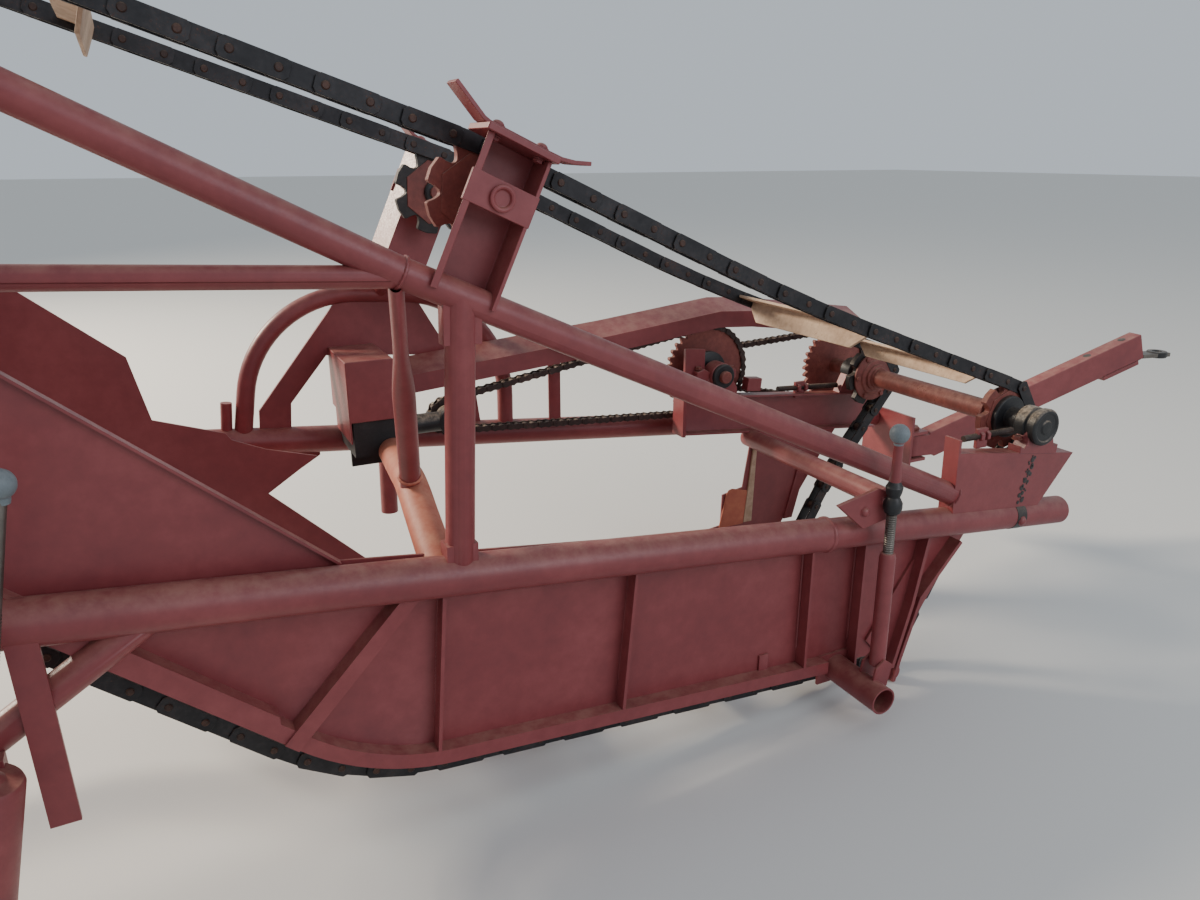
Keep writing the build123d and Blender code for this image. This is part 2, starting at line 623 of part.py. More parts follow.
# Idler posts, square to the sloping rail, with cap and guide shoe
rail_dir = Vector(RAIL_FRONT_X - BEND_X, 0, RAIL_FRONT_Z - BEND_Z).normalized()
rail_up = Vector(-rail_dir.Z, 0, rail_dir.X)


def idler_post(side):
    """Channel post with cap, bent guide shoe and bearing band."""
    axis = Vector(IDLERS[side][0], side * TUBE_Y, IDLERS[side][1])
    local = Plane(origin=axis - rail_up * AXLE_UP, x_dir=rail_dir, z_dir=rail_up)
    web = Pos(0, -side * (POST_DEPTH / 2 - POST_T / 2), POST_H / 2) * Box(POST_W, POST_T, POST_H)
    web += Pos(POST_W / 2 - POST_T / 2, 0, POST_H / 2) * Box(POST_T, POST_DEPTH, POST_H)
    web += Pos(-POST_W / 2 + POST_T / 2, 0, POST_H / 2) * Box(POST_T, POST_DEPTH, POST_H)
    web += Pos(0, 0, POST_H + 6) * Box(POST_W + 16, POST_DEPTH + 30, 12)
    web += Pos(10, 0, POST_H + 12 + SHOE_T / 2) * Box(POST_W + 60, POST_DEPTH + 20, SHOE_T)
    web += Pos(-POST_W / 2 - 18, 0, POST_H + 12) * Rot(0, 35, 0) * Box(70, POST_DEPTH + 20, SHOE_T, align=(Align.MAX, Align.CENTER, Align.MIN))
    web += Pos(0, side * (POST_DEPTH / 2 - 4), AXLE_UP) * Box(POST_W + 4, 10, POST_BAND_H)
    web += Pos(0, side * (POST_DEPTH / 2 + 6), AXLE_UP) * Rot(90, 0, 0) * Cylinder(24, 10)
    return largest(local * web - pieces["upper_frame_right" if side < 0 else "upper_frame_left"])


save("idler_posts", both(idler_post))


def conveyor_sprocket(x, z, side):
    """Scalloped sprocket of the conveyor chain."""
    return toothed(x, z, SPROCKET_R - TOOTH_ROOT, TEETH, TOOTH_DEPTH, side * CHAIN_Y, SPROCKET_T)


def idler(side):
    """Idler sprocket on its stub axle."""
    x, z = IDLERS[side]
    wheel = conveyor_sprocket(x, z, side)
    wheel += disc(x, z, 36, side * (CHAIN_Y - 26), side * (CHAIN_Y + 24))
    return wheel + disc(x, z, 18, side * (CHAIN_Y - 34), side * (TUBE_Y - POST_DEPTH / 2))


save("idler_sprockets", both(idler))

# Front shaft with its conveyor sprockets, their hub flanges and the large driven sprocket
shaft = disc(FRONT_X, FRONT_Z, SHAFT_D / 2, RIGHT_SHAFT_END_Y, LEFT_SHAFT_END_Y)
for side in (-1, 1):
    shaft += conveyor_sprocket(FRONT_X, FRONT_Z, side)
    shaft += disc(FRONT_X, FRONT_Z, HUB_R, side * CHAIN_Y - 28, side * CHAIN_Y + 28)
    shaft += disc(FRONT_X, FRONT_Z, HUB_FLANGE_R, side * (CHAIN_Y - 29), side * (CHAIN_Y - 19))
shaft += cog(FRONT_X, FRONT_Z, DRIVEN_TEETH, SECOND_Y)
save("front_shaft", shaft)

# Head shaft with its sprockets
head = disc(HEAD_X, HEAD_Z, SHAFT_D / 2, -HEAD_SHAFT_END_Y, HEAD_SHAFT_END_Y)
for side in (-1, 1):
    head += conveyor_sprocket(HEAD_X, HEAD_Z, side)
save("head_shaft", head)

# Bearings of the front and head shafts
front_bearings = disc(FRONT_X, FRONT_Z, BEARING_R, -TUBE_Y - 22, -TUBE_Y + 30)
foot = block(FRONT_X - 70, FRONT_X + 70, -TUBE_Y - 22, -TUBE_Y + 22, BEARING_FOOT_Z, FRONT_Z - 20)
front_bearings += foot - plate(BOX, -TUBE_Y - BOX_HALF, -TUBE_Y + BOX_HALF)
front_bearings += disc(FRONT_X, FRONT_Z, BEARING_R, BEAM_Y0 - 4, BEAM_Y1 + 4)
front_bearings += beam_plate(half, half + 76, BEAM_Y0, BEAM_Y1, FRONT_X - 70, FRONT_X + 70)
front_bearings = front_bearings - disc(FRONT_X, FRONT_Z, SHAFT_D / 2, -FAR, FAR) - bearing_box - beam
save("front_bearings", front_bearings)


def head_bearing(side):
    """Flanged bearing of the head shaft on one wall."""
    hub = disc(HEAD_X, HEAD_Z, BEARING_R, side * OUT, side * (OUT + 46))
    hub += block(HEAD_X - 70, HEAD_X + 70, side * OUT, side * (OUT + 16), HEAD_Z - 60, HEAD_Z + 60)
    return hub - disc(HEAD_X, HEAD_Z, SHAFT_D / 2, -FAR, FAR)


save("head_bearings", both(head_bearing))

# Conveyor chains and flights
for side, name in ((-1, "right"), (1, "left")):
    chain = link_chain(slack_loop(*IDLERS[side]), PITCH, CHAIN_H, side * CHAIN_Y, CHAIN_T)
    for other in ("front_shaft", "head_shaft", "idler_sprockets"):
        chain = chain - pieces[other]
    save("conveyor_chain_" + name, largest(chain))

# First flight of each run: number of the stretch that it lies on, and distance from its start
FLIGHT_STATIONS = [(6, 120.0), (10, 740.0), (12, 500.0), (0, 260.0)]
run_parts = stretches(slack_loop(*MID_IDLER))
flights = None
for number, first in FLIGHT_STATIONS:
    for s in (first, first + FLIGHT_GAP):
        x, z, out, bent = belt_point(run_parts, s + sum(part[0] for part in run_parts[:number]))
        spot = Plane(origin=(x, 0, z), x_dir=(-sin(out), 0, cos(out)), z_dir=(-cos(out), 0, -sin(out)))
        reach = 2 * (CHAIN_Y - CHAIN_T / 2)
        blade = Pos(0, 0, FLIGHT_H / 2 - FLIGHT_BITE) * Box(FLIGHT_T, reach, FLIGHT_H)
        foot = Pos(FLIGHT_W / 2, 0, -FLIGHT_BITE + FLIGHT_T / 2) * Box(FLIGHT_W, reach, FLIGHT_T)
        flight = spot * (blade + foot)
        flights = flight if flights is None else flights + flight
save("flights", flights)

# Gearbox in its guard box, with the drive shaft over the left tube
GUARD_Y1 = LEFT_TUBE_Y - SHEET_T / 2
guard = block(GEAR_X0, GEAR_X1, GEAR_Y0, GUARD_Y1, GEAR_Z0, GEAR_Z1)
guard = guard - block(GEAR_X0 + SHEET, GEAR_X1 - SHEET, GEAR_Y0 + SHEET, GUARD_Y1 - SHEET, GEAR_Z0 - SHEET, GEAR_Z1 - SHEET)
guard += block(GEAR_X0, GEAR_X0 + SHEET, GEAR_Y0, GUARD_Y1 - 40, GEAR_Z0 - 58, GEAR_Z0)
gearbox = block(GEAR_X0 + 12, GEAR_X1 + 33, GEAR_Y0 + 20, LEFT_TUBE_Y - 20, 688, GEAR_Z1 - 55)
gearbox += block(GEAR_X0 + 12, GEAR_X1 + 11, 376, 386, 646, 716)
gearbox += rod((GEAR_X1, 386, PINION_Z), (PINION_X, 386, PINION_Z), 56)
gearbox += disc(PINION_X, PINION_Z, 40, 358, 408) + disc(PINION_X, PINION_Z, 20, 350, DRIVE_Y + 18)
gearbox += cog(PINION_X, PINION_Z, PINION_TEETH, DRIVE_Y)
gearbox = gearbox - pieces["cross_tube"] - left_solid
save("gearbox", largest(gearbox))
save("guard_box", largest(guard - pieces["gearbox"] - pieces["upper_frame_left"]))

# Countershaft with two sprockets in its split bearing
counter = disc(COUNTER_X, COUNTER_Z, 22, COUNTER_Y0, SECOND_Y + 20)
counter += cog(COUNTER_X, COUNTER_Z, COUNTER_TEETH, DRIVE_Y) + cog(COUNTER_X, COUNTER_Z, SMALL_TEETH, SECOND_Y)
save("countershaft", counter)
counter_bearing = disc(COUNTER_X, COUNTER_Z, 42, BEAM_Y0 - 8, BEAM_Y1 + 8)
counter_bearing += beam_plate(half, half + 60, BEAM_Y0, BEAM_Y1, COUNTER_X - 68, COUNTER_X + 68)
counter_bearing = counter_bearing - disc(COUNTER_X, COUNTER_Z, 22, -FAR, FAR) - beam
save("counter_bearing", counter_bearing)

# Drive chains, one loop each: small sprocket, then large one
pinion_round = (PINION_X, PINION_Z, pitch_radius(PINION_TEETH))
counter_round = (COUNTER_X, COUNTER_Z, pitch_radius(COUNTER_TEETH))
small_round = (COUNTER_X, COUNTER_Z, pitch_radius(SMALL_TEETH))
driven_round = (FRONT_X, FRONT_Z, pitch_radius(DRIVEN_TEETH))
chains = band([pinion_round, counter_round], DRIVE_CHAIN_H, DRIVE_Y, DRIVE_CHAIN_W)
chains += band([small_round, driven_round], DRIVE_CHAIN_H, SECOND_Y, DRIVE_CHAIN_W)
for other in ("gearbox", "countershaft", "front_shaft"):
    chains = chains - pieces[other]
save("drive_chains", chains)

# Bent guard over the drive chains, its near upper edge as (x, z), on two stays from the left tube
GUARD_LINE = [(600.0, 870.0), (1274.0, 929.0), (1680.0, 974.0), (1810.0, 966.0), (2290.0, 900.0)]
# Stations of the stays, with the guard's height there
STAYS = [(1100.0, 915.0), (2200.0, 910.0)]
STAY_W, STAY_T = 40.0, 6.0


def guard_top(a, b):
    """Sloping top sheet between two points of the guard's near upper edge."""
    near = [Vector(a[0], GUARD_NEAR_Y, a[1]), Vector(b[0], GUARD_NEAR_Y, b[1])]
    rise = Vector(0, GUARD_FAR_Y - GUARD_NEAR_Y, GUARD_RISE)
    face = make_face(Polyline(near[0], near[1], near[1] + rise, near[0] + rise, close=True))
    return extrude(face, GUARD_T, dir=(0, 0, 1))


cover = None
for a, b in zip(GUARD_LINE, GUARD_LINE[1:]):
    near = plate([(a[0], a[1] - GUARD_SIDE), (b[0], b[1] - GUARD_SIDE), (b[0], b[1] + GUARD_T), (a[0], a[1] + GUARD_T)], GUARD_NEAR_Y - GUARD_T, GUARD_NEAR_Y)
    part = guard_top(a, b) + near
    cover = part if cover is None else cover + part
for x, top in STAYS:
    cover += block(x, x + STAY_W, GUARD_FAR_Y, GUARD_FAR_Y + STAY_T, tube_z(x, 1), top + GUARD_RISE)
cover = cover - left_solid - pieces["drive_chains"]
save("chain_guard", largest(cover))

# Crank jacks
lean = (JACK_X - JACK_FOOT_X) / (JACK_TOP_Z - JACK_FOOT_Z)


def jack_point(z):
    """Point of the front jack's leaning axis at height z."""
    return (JACK_X - (JACK_TOP_Z - z) * lean, JACK_Y, z)


jack = rod(jack_point(JACK_FOOT_Z), jack_point(490), JACK_D) + rod(jack_point(490), jack_point(640), 26)
jack += rod(jack_point(640), jack_point(690), 46) + rod(jack_point(690), jack_point(790), 24)
jack += Pos(*jack_point(JACK_TOP_Z)) * Sphere(KNOB_R)
save("front_jack", jack)
BRACKET = [(1430, 555), (1540, 655), (1650, 655), (1650, 530)]
bracket = plate(BRACKET, -TUBE_Y - 16, -TUBE_Y - 6) + block(1540, 1650, -460, -TUBE_Y - 10, 640, 650)
bracket = bracket - tube_solid - jack - pieces["front_brace"]
save("jack_bracket", largest(bracket))

# Short cross tube at the front corner, open at its end, with the two ears that hold the jack's foot
EAR = [(STUB_X - 6, STUB_Z + 10), (STUB_X + 50, STUB_Z + 10), (STUB_X + 62, 168), (STUB_X + 34, 188), (STUB_X + 6, 168)]
stub = stub_solid + block(STUB_X - 60, STUB_X + 60, -OUT, -OUT - 8, STUB_Z - 42, STUB_Z + 46)
for y in (JACK_Y + JACK_D / 2, JACK_Y - JACK_D / 2 - 6):
    stub += plate(EAR, y, y + 6)
stub = stub - disc(STUB_X, STUB_Z, STUB_BORE_R, -FAR, -300) - jack - pieces["side_plate_right"]
save("stub_tube", largest(stub))
cut("front_shoes", "stub_tube")


# Rear braces down to the low rails that carry the axle, with a hanger each
def rear_brace(side):
    """Brace from a main tube down to the low rail, and on to the axle."""
    y = -TUBE_Y if side < 0 else LEFT_TUBE_Y
    rear = rod((BRACE_TOP_X, y, tube_z(BRACE_TOP_X, side)), (LOW_X, y, LOW_Z), BRACE_D)
    rear += Pos(LOW_X, y, LOW_Z) * Sphere(BRACE_D / 2)
    rear += rod((LOW_X, y, LOW_Z), (AXLE_X + AXLE_BAR / 2, y, LOW_Z), BRACE_D)
    hang = y + side * 33
    rear += bar((-262, hang, tube_z(-262, side) - 20), (-255, hang, 330), 10, 50, up=(1, 0, 0))
    return largest(rear - (tube_solid if side < 0 else left_solid))


save("rear_braces", both(rear_brace))
cut("side_plate_right", "rear_braces")
cut("side_plate_left", "rear_braces")

# Rear crank jack, its wide leg beside the right brace
rear_jack = rod(REAR_JACK_FOOT, REAR_JACK_NECK, REAR_JACK_D) + rod(REAR_JACK_NECK, REAR_JACK_TOP, 26)
rear_jack += Pos(*REAR_JACK_TOP) * Sphere(KNOB_R)
rear_jack += block(-390, -320, -TUBE_Y - 58, -TUBE_Y - 18, 430, 500)
save("rear_jack", largest(rear_jack - pieces["rear_braces"]))

# Axle
axle = block(AXLE_X - AXLE_BAR / 2, AXLE_X + AXLE_BAR / 2, -WHEEL_Y + TYRE_W / 2 + 20, WHEEL_Y - TYRE_W / 2 - 20, WHEEL_R - AXLE_BAR / 2, WHEEL_R + AXLE_BAR / 2)
for side in (-1, 1):
    axle += disc(AXLE_X, WHEEL_R, SPINDLE_R, side * (WHEEL_Y - TYRE_W / 2 - 30), side * (WHEEL_Y + 60))
save("axle", axle)


# Chassis rails with legs to the elevator and the axle
def chassis_rail(side):
    """Rail behind the main tube, with the elevator leg and the axle post."""
    z0, z1 = CHASSIS_Z - CHASSIS_H / 2, CHASSIS_Z + CHASSIS_H / 2
    y0, y1 = side * (CHASSIS_Y - CHASSIS_W / 2), side * (CHASSIS_Y + CHASSIS_W / 2)
    tube_out = TUBE_Y if side < 0 else LEFT_TUBE_Y
    rail = block(CHASSIS_REAR_X, TUBE_REAR_X, y0, y1, z0, z1)
    rail += block(TUBE_REAR_X - LEG, TUBE_REAR_X, side * OUT, side * (OUT + LEG), z1, LEG_TOP_Z)
    rail += block(AXLE_X - 40, AXLE_X + 40, y0, y1, WHEEL_R + AXLE_BAR / 2, z0)
    rail += block(TUBE_REAR_X - 12, TUBE_REAR_X, side * OUT, side * (tube_out + 42), z0, 930)
    rail += disc(HOP_PIVOT_X, HOP_PIVOT_Z, HOP_PIN_R, side * (CHASSIS_Y - 50), side * (CHASSIS_Y + 50))
    return largest(rail - tube_solid - left_solid - pieces["side_plate_right" if side < 0 else "side_plate_left"])


save("chassis_rails", both(chassis_rail))
yoke = block(RAM_FOOT_X - 30, RAM_FOOT_X + 30, -CHASSIS_Y + CHASSIS_W / 2, CHASSIS_Y - CHASSIS_W / 2, CHASSIS_Z - 50, CHASSIS_Z)
for side in (-1, 1):
    yoke += block(RAM_FOOT_X - 30, RAM_FOOT_X + 30, side * 33, side * 45, RAM_FOOT_Z - 35, CHASSIS_Z - 50)
yoke += disc(RAM_FOOT_X, RAM_FOOT_Z, RAM_PIN_R, -50, 50)
save("ram_yoke", yoke)

# Tipping cylinder
ram_run = Vector(RAM_EYE_X - RAM_FOOT_X, 0, RAM_EYE_Z - RAM_FOOT_Z)
ram_len = ram_run.length
ram_plane = Plane(origin=Vector(RAM_FOOT_X, 0, RAM_FOOT_Z), x_dir=(0, 1, 0), z_dir=ram_run.normalized())
ON_END = (Align.CENTER, Align.CENTER, Align.MIN)
barrel = ram_plane * (Pos(0, 0, 56) * Cylinder(RAM_R, ram_len - 146, align=ON_END))
barrel += ram_plane * (Pos(0, 0, 30) * Box(56, 50, 60))
barrel += disc(RAM_FOOT_X, RAM_FOOT_Z, 32, -28, 28)
barrel -= ram_plane * (Pos(0, 0, 70) * Cylinder(RAM_ROD_R + FIT, ram_len, align=ON_END))
barrel -= disc(RAM_FOOT_X, RAM_FOOT_Z, RAM_PIN_R + FIT, -60, 60)
save("ram_barrel", barrel)
ram_rod = ram_plane * (Pos(0, 0, 80) * Cylinder(RAM_ROD_R, ram_len - 90, align=ON_END))
ram_rod += disc(RAM_EYE_X, RAM_EYE_Z, 30, -26, 26)
save("ram_rod", ram_rod)

# Hopper
outer = [(HOP_FRONT_X, HOP_FLOOR_Z), (HOP_FRONT_TOP_X, HOP_FRONT_TOP_Z), (HOP_REAR_TOP_X, HOP_REAR_TOP_Z), (HOP_REAR_X, HOP_FLOOR_Z)]
inner = [(HOP_FRONT_X - HOP_T, HOP_FLOOR_Z + HOP_T), (HOP_FRONT_TOP_X - HOP_T, HOP_FRONT_TOP_Z + 100), (HOP_REAR_TOP_X - 40, HOP_REAR_TOP_Z + 80), (HOP_REAR_X + HOP_T, HOP_FLOOR_Z + HOP_T)]
hopper = plate(outer, -HOP_W / 2, HOP_W / 2) - plate(inner, -HOP_W / 2 + HOP_T, HOP_W / 2 - HOP_T)
for side in (-1, 1):
    rim_y = side * (HOP_W / 2 + HOP_RIM / 2)
    hopper += bar((HOP_FRONT_TOP_X, rim_y, HOP_FRONT_TOP_Z - HOP_RIM / 2), (HOP_REAR_TOP_X, rim_y, HOP_REAR_TOP_Z - HOP_RIM / 2), HOP_RIM, HOP_RIM)
save("hopper", hopper)


def hopper_bearer(side):
    """Bearer under the hopper floor with its two ears at the tipping pin, and one eye plate of the cylinder."""
    bearer = block(HOP_REAR_X, HOP_FRONT_X - 10, side * (CHASSIS_Y - 25), side * (CHASSIS_Y + 25), CHASSIS_Z + CHASSIS_H / 2 + SEAT_GAP, HOP_FLOOR_Z)
    ear_line = [(HOP_PIVOT_X - 35, HOP_PIVOT_Z - 30), (HOP_PIVOT_X + 35, HOP_PIVOT_Z - 30), (HOP_REAR_X + 60, HOP_FLOOR_Z), (HOP_REAR_X - 60, HOP_FLOOR_Z), (HOP_REAR_X - 150, HOP_FLOOR_Z + 110)]
    for y0 in (CHASSIS_Y - CHASSIS_W / 2 - 16, CHASSIS_Y + CHASSIS_W / 2 + 6):
        bearer += plate(ear_line, side * y0, side * (y0 + 10)) - disc(HOP_PIVOT_X, HOP_PIVOT_Z, HOP_PIN_R + FIT, -FAR, FAR)
    bearer = bearer - plate(outer, -HOP_W, HOP_W)
    eye_line = [(RAM_EYE_X - 40, RAM_EYE_Z - 20), (RAM_EYE_X + 40, RAM_EYE_Z - 20), (RAM_EYE_X + 60, HOP_FLOOR_Z), (RAM_EYE_X - 60, HOP_FLOOR_Z)]
    return bearer + plate(eye_line, side * 33, side * 43)


save("hopper_underframe", both(hopper_bearer))


# Wheels
def tyre(side):
    """Tyre with rounded shoulders and a row of slanting lugs on each half."""
    here = Pos(AXLE_X, side * WHEEL_Y, WHEEL_R) * Rot(90, 0, 0)
    body = Cylinder(WHEEL_R - LUG_H, TYRE_W) - Cylinder(RIM_R, TYRE_W + 10)
    body = fillet(body.edges().filter_by(GeomType.CIRCLE).sort_by(SortBy.RADIUS)[-2:], 40)
    lugs = None
    for half_side in (-1, 1):
        for i in range(LUGS):
            turn = 360 * (i + 0.25 * half_side) / LUGS
            lug = Rot(0, 0, turn) * Pos(WHEEL_R - LUG_H - 10, 0, half_side * TYRE_W / 4) * Rot(half_side * 28, 0, 0)
            lug = lug * Box(60, 34, TYRE_W / 2 - 14)
            lugs = lug if lugs is None else lugs + lug
    return here * (body + (lugs & Cylinder(WHEEL_R, TYRE_W - 14)) - Cylinder(RIM_R, TYRE_W + 10))


for side, name in ((-1, "right"), (1, "left")):
    save("tyre_" + name, tyre(side))
    rim = disc(AXLE_X, WHEEL_R, RIM_R, side * (WHEEL_Y - 120), side * (WHEEL_Y + 120))
    rim -= disc(AXLE_X, WHEEL_R, RIM_R - 12, side * (WHEEL_Y + 20), side * (WHEEL_Y + 130))
    rim -= disc(AXLE_X, WHEEL_R, RIM_R - 12, side * (WHEEL_Y + 8), side * (WHEEL_Y - 130))
    rim += disc(AXLE_X, WHEEL_R, 70, side * (WHEEL_Y - 70), side * (WHEEL_Y + 66))
    rim -= disc(AXLE_X, WHEEL_R, SPINDLE_R + FIT, side * (WHEEL_Y - 200), side * (WHEEL_Y + 62))
    save("rim_" + name, rim)

# Drawbar with its pivot bracket and hitch tongue
pivot = Vector(DRAW_PIVOT_X, DRAW_PIVOT_Y, DRAW_PIVOT_Z)
tip = Vector(DRAW_TIP_X, DRAW_TIP_Y, DRAW_TIP_Z)
mount_plate = block(LEFT_TUBE_FRONT_X, LEFT_TUBE_FRONT_X + 10, 320, LEFT_TUBE_Y + 44, 335, 530) - left_solid
for z in (-59, 47):
    mount_plate += block(LEFT_TUBE_FRONT_X + 10, DRAW_PIVOT_X + 40, DRAW_PIVOT_Y - 40, DRAW_PIVOT_Y + 40, DRAW_PIVOT_Z + z, DRAW_PIVOT_Z + z + 12)
mount_plate += Pos(DRAW_PIVOT_X, DRAW_PIVOT_Y, DRAW_PIVOT_Z) * Cylinder(DRAW_PIN_R, 130)
save("drawbar_bracket", mount_plate)
level = Vector(tip.X - pivot.X, tip.Y - pivot.Y, 0).normalized()
drawbar = bar(tuple(pivot + level * 10), tuple(pivot + level * 95), 60, 84) + Pos(*pivot) * Cylinder(32, 84)
drawbar += bar(tuple(pivot + level * 70), tuple(tip), DRAW_W, DRAW_H)
# Its upper rear corner is cut round the pin, clear of the fork in every swing
drawbar -= Pos(DRAW_PIVOT_X, DRAW_PIVOT_Y, DRAW_PIVOT_Z + 42) * Cylinder(DRAW_RELIEF_R, 70, align=ON_END)
drawbar -= Pos(*pivot) * Cylinder(DRAW_PIN_R + FIT, 200)
along = (tip - pivot - level * 70).normalized()
sole_end = tip - Vector(0, 0, (DRAW_H + DRAW_SOLE_T) / 2 + 3)
drawbar += bar(tuple(sole_end - along * DRAW_SOLE_L), tuple(sole_end), DRAW_W - 8, DRAW_SOLE_T)
save("drawbar", largest(drawbar))
start = Vector(tip.X - along.X * 60, tip.Y - along.Y * 60, tip.Z - DRAW_H / 2 + TONGUE_T / 2)
tongue = bar(tuple(start), tuple(start + level * (TONGUE_L + 60)), 60, TONGUE_T)
hitch = start + level * (TONGUE_L + 20)
tongue = tongue - Pos(*hitch) * Cylinder(HITCH_R, 60) - pieces["drawbar"]
save("hitch_tongue", largest(tongue))

# Every piece goes to the row's frame and to its own file
for node, shape in pieces.items():
    moved = Pos(-ORIGIN_X, 0, 0) * shape
    moved.label = node
    export_step(moved, "parts/" + node + ".step")
print("hitch", hitch, "origin", ORIGIN_X)
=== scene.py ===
"""Trailed stone picker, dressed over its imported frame.

Lengths inside the classes are station millimetres, as in the part's source: x forward from the foot of the
elevator, y to the machine's left and z up from the ground. at() turns them into the row frame in metres.
"""
from __future__ import annotations

import json
import logging
import math
from dataclasses import dataclass
from enum import Enum
from typing import Sequence

import bmesh
import bpy
import numpy as np
from mathutils import Matrix

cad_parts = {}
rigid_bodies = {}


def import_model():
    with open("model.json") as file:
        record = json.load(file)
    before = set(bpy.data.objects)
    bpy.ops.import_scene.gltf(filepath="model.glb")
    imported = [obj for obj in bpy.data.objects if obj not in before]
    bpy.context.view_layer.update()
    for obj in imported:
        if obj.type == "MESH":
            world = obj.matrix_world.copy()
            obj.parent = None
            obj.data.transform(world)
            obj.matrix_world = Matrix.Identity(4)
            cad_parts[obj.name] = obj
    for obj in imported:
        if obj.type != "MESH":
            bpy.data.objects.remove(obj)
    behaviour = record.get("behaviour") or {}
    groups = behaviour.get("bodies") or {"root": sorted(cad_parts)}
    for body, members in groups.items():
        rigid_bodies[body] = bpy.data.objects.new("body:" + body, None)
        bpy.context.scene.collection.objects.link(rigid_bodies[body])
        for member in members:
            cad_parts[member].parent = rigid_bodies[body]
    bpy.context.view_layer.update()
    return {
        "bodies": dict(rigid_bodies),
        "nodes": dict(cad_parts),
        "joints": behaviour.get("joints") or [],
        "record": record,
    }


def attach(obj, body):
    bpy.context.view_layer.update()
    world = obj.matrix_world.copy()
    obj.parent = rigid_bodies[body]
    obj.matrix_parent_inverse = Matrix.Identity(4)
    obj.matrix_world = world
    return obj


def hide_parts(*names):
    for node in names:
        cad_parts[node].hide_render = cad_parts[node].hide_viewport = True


LOG = logging.getLogger("stone_picker")

# Station x of the row's origin
STATION = 365.3
MM = 0.001
TAU = 2.0 * math.pi
FRAME = "frame_body"
FORWARD = (1, 0, 0)
LEFTWARD = (0, 1, 0)
RIGHTWARD = (0, -1, 0)
UP = (0, 0, 1)

Vec = Sequence[float]
Rows = Sequence[Sequence[float]]
Tree = bpy.types.NodeTree
Socket = bpy.types.NodeSocket


class Side(Enum):
    """The machine's two sides, with the sign of y there."""

    RIGHT = -1
    LEFT = 1

    @property
    def word(self) -> str:
        """Name of the side in lower case."""
        return self.name.lower()


class Head(Enum):
    """Kinds of fastener head, hexagon or half-round, with the number of their sides."""

    HEXAGON = 6
    DOME = 16


def at(points: Sequence) -> np.ndarray:
    """Turn station millimetres into metres in the row frame.

    Args:
        points: One point or an array of points with x, y, z last.

    Returns:
        The same points in metres, with x counted from the row's origin.
    """
    out = np.array(points, dtype=float) * MM
    out[..., 0] -= STATION * MM
    return out


def linear(code: str) -> tuple[float, float, float, float]:
    """Turn an sRGB hex colour into linear light.

    Args:
        code: Six hex digits.

    Returns:
        Red, green, blue and an alpha of one, where each channel is ((c + 0.055) / 1.055) to the power 2.4,
        or c / 12.92 near black.
    """
    srgb = np.array([int(code[i:i + 2], 16) for i in (0, 2, 4)]) / 255.0
    light = np.where(srgb <= 0.04045, srgb / 12.92, ((srgb + 0.055) / 1.055) ** 2.4)
    return (*light.tolist(), 1.0)


# Meshes


@dataclass
class Shell:
    """Points and faces of a surface, in station millimetres."""

    points: np.ndarray
    faces: list[np.ndarray]

    def moved(self, matrices: np.ndarray) -> Shell:
        """Copy the shell once for each matrix.

        Args:
            matrices: k by 4 by 4 transforms.

        Returns:
            One shell of k copies, where copy i holds matrix i times each point.
        """
        mats = np.asarray(matrices, dtype=float).reshape(-1, 4, 4)
        pts = np.einsum("kij,nj->kni", mats[:, :3, :3], self.points) + mats[:, None, :3, 3]
        step = len(self.points) * np.arange(len(mats))
        faces = [(f[None, :, :] + step[:, None, None]).reshape(-1, f.shape[1]) for f in self.faces]
        return Shell(pts.reshape(-1, 3), faces)

    def __add__(self, other: Shell) -> Shell:
        """Join two shells in one, without merging points."""
        shifted = [f + len(self.points) for f in other.faces]
        return Shell(np.vstack([self.points, other.points]), self.faces + shifted)


def joined(shells: Sequence[Shell]) -> Shell:
    """Join several shells in one."""
    return sum(shells[1:], shells[0])


def grid(points: np.ndarray, wrap_u: bool = False, wrap_v: bool = False) -> Shell:
    """Make quads over a grid of points.

    Args:
        points: nu by nv by 3 array, a function of the two parameters u and v.
        wrap_u: Join the last row of u to the first.
        wrap_v: Join the last column of v to the first.

    Returns:
        A shell whose face (u, v) has the corners (u, v), (u+1, v), (u+1, v+1) and (u, v+1).
    """
    nu, nv = points.shape[:2]
    index = np.arange(nu * nv).reshape(nu, nv)
    if wrap_u:
        index = np.vstack([index, index[:1]])
    if wrap_v:
        index = np.hstack([index, index[:, :1]])
    quads = np.stack([index[:-1, :-1], index[1:, :-1], index[1:, 1:], index[:-1, 1:]], axis=-1)
    return Shell(points.reshape(-1, 3), [quads.reshape(-1, 4)])


def unit(vectors: np.ndarray) -> np.ndarray:
    """Scale vectors to length one."""
    return vectors / np.linalg.norm(vectors, axis=-1, keepdims=True)


def circle(sides: int) -> np.ndarray:
    """Points (cos a, sin a) of a unit circle, one in each row."""
    angle = TAU * np.arange(sides) / sides
    return np.stack([np.cos(angle), np.sin(angle)], axis=-1)


def closing(rings: int, sides: int) -> list[np.ndarray]:
    """Faces that close a tube of rings at its first and its last one."""
    ring = np.arange(sides)
    return [ring[None, :], (rings - 1) * sides + ring[None, ::-1]]


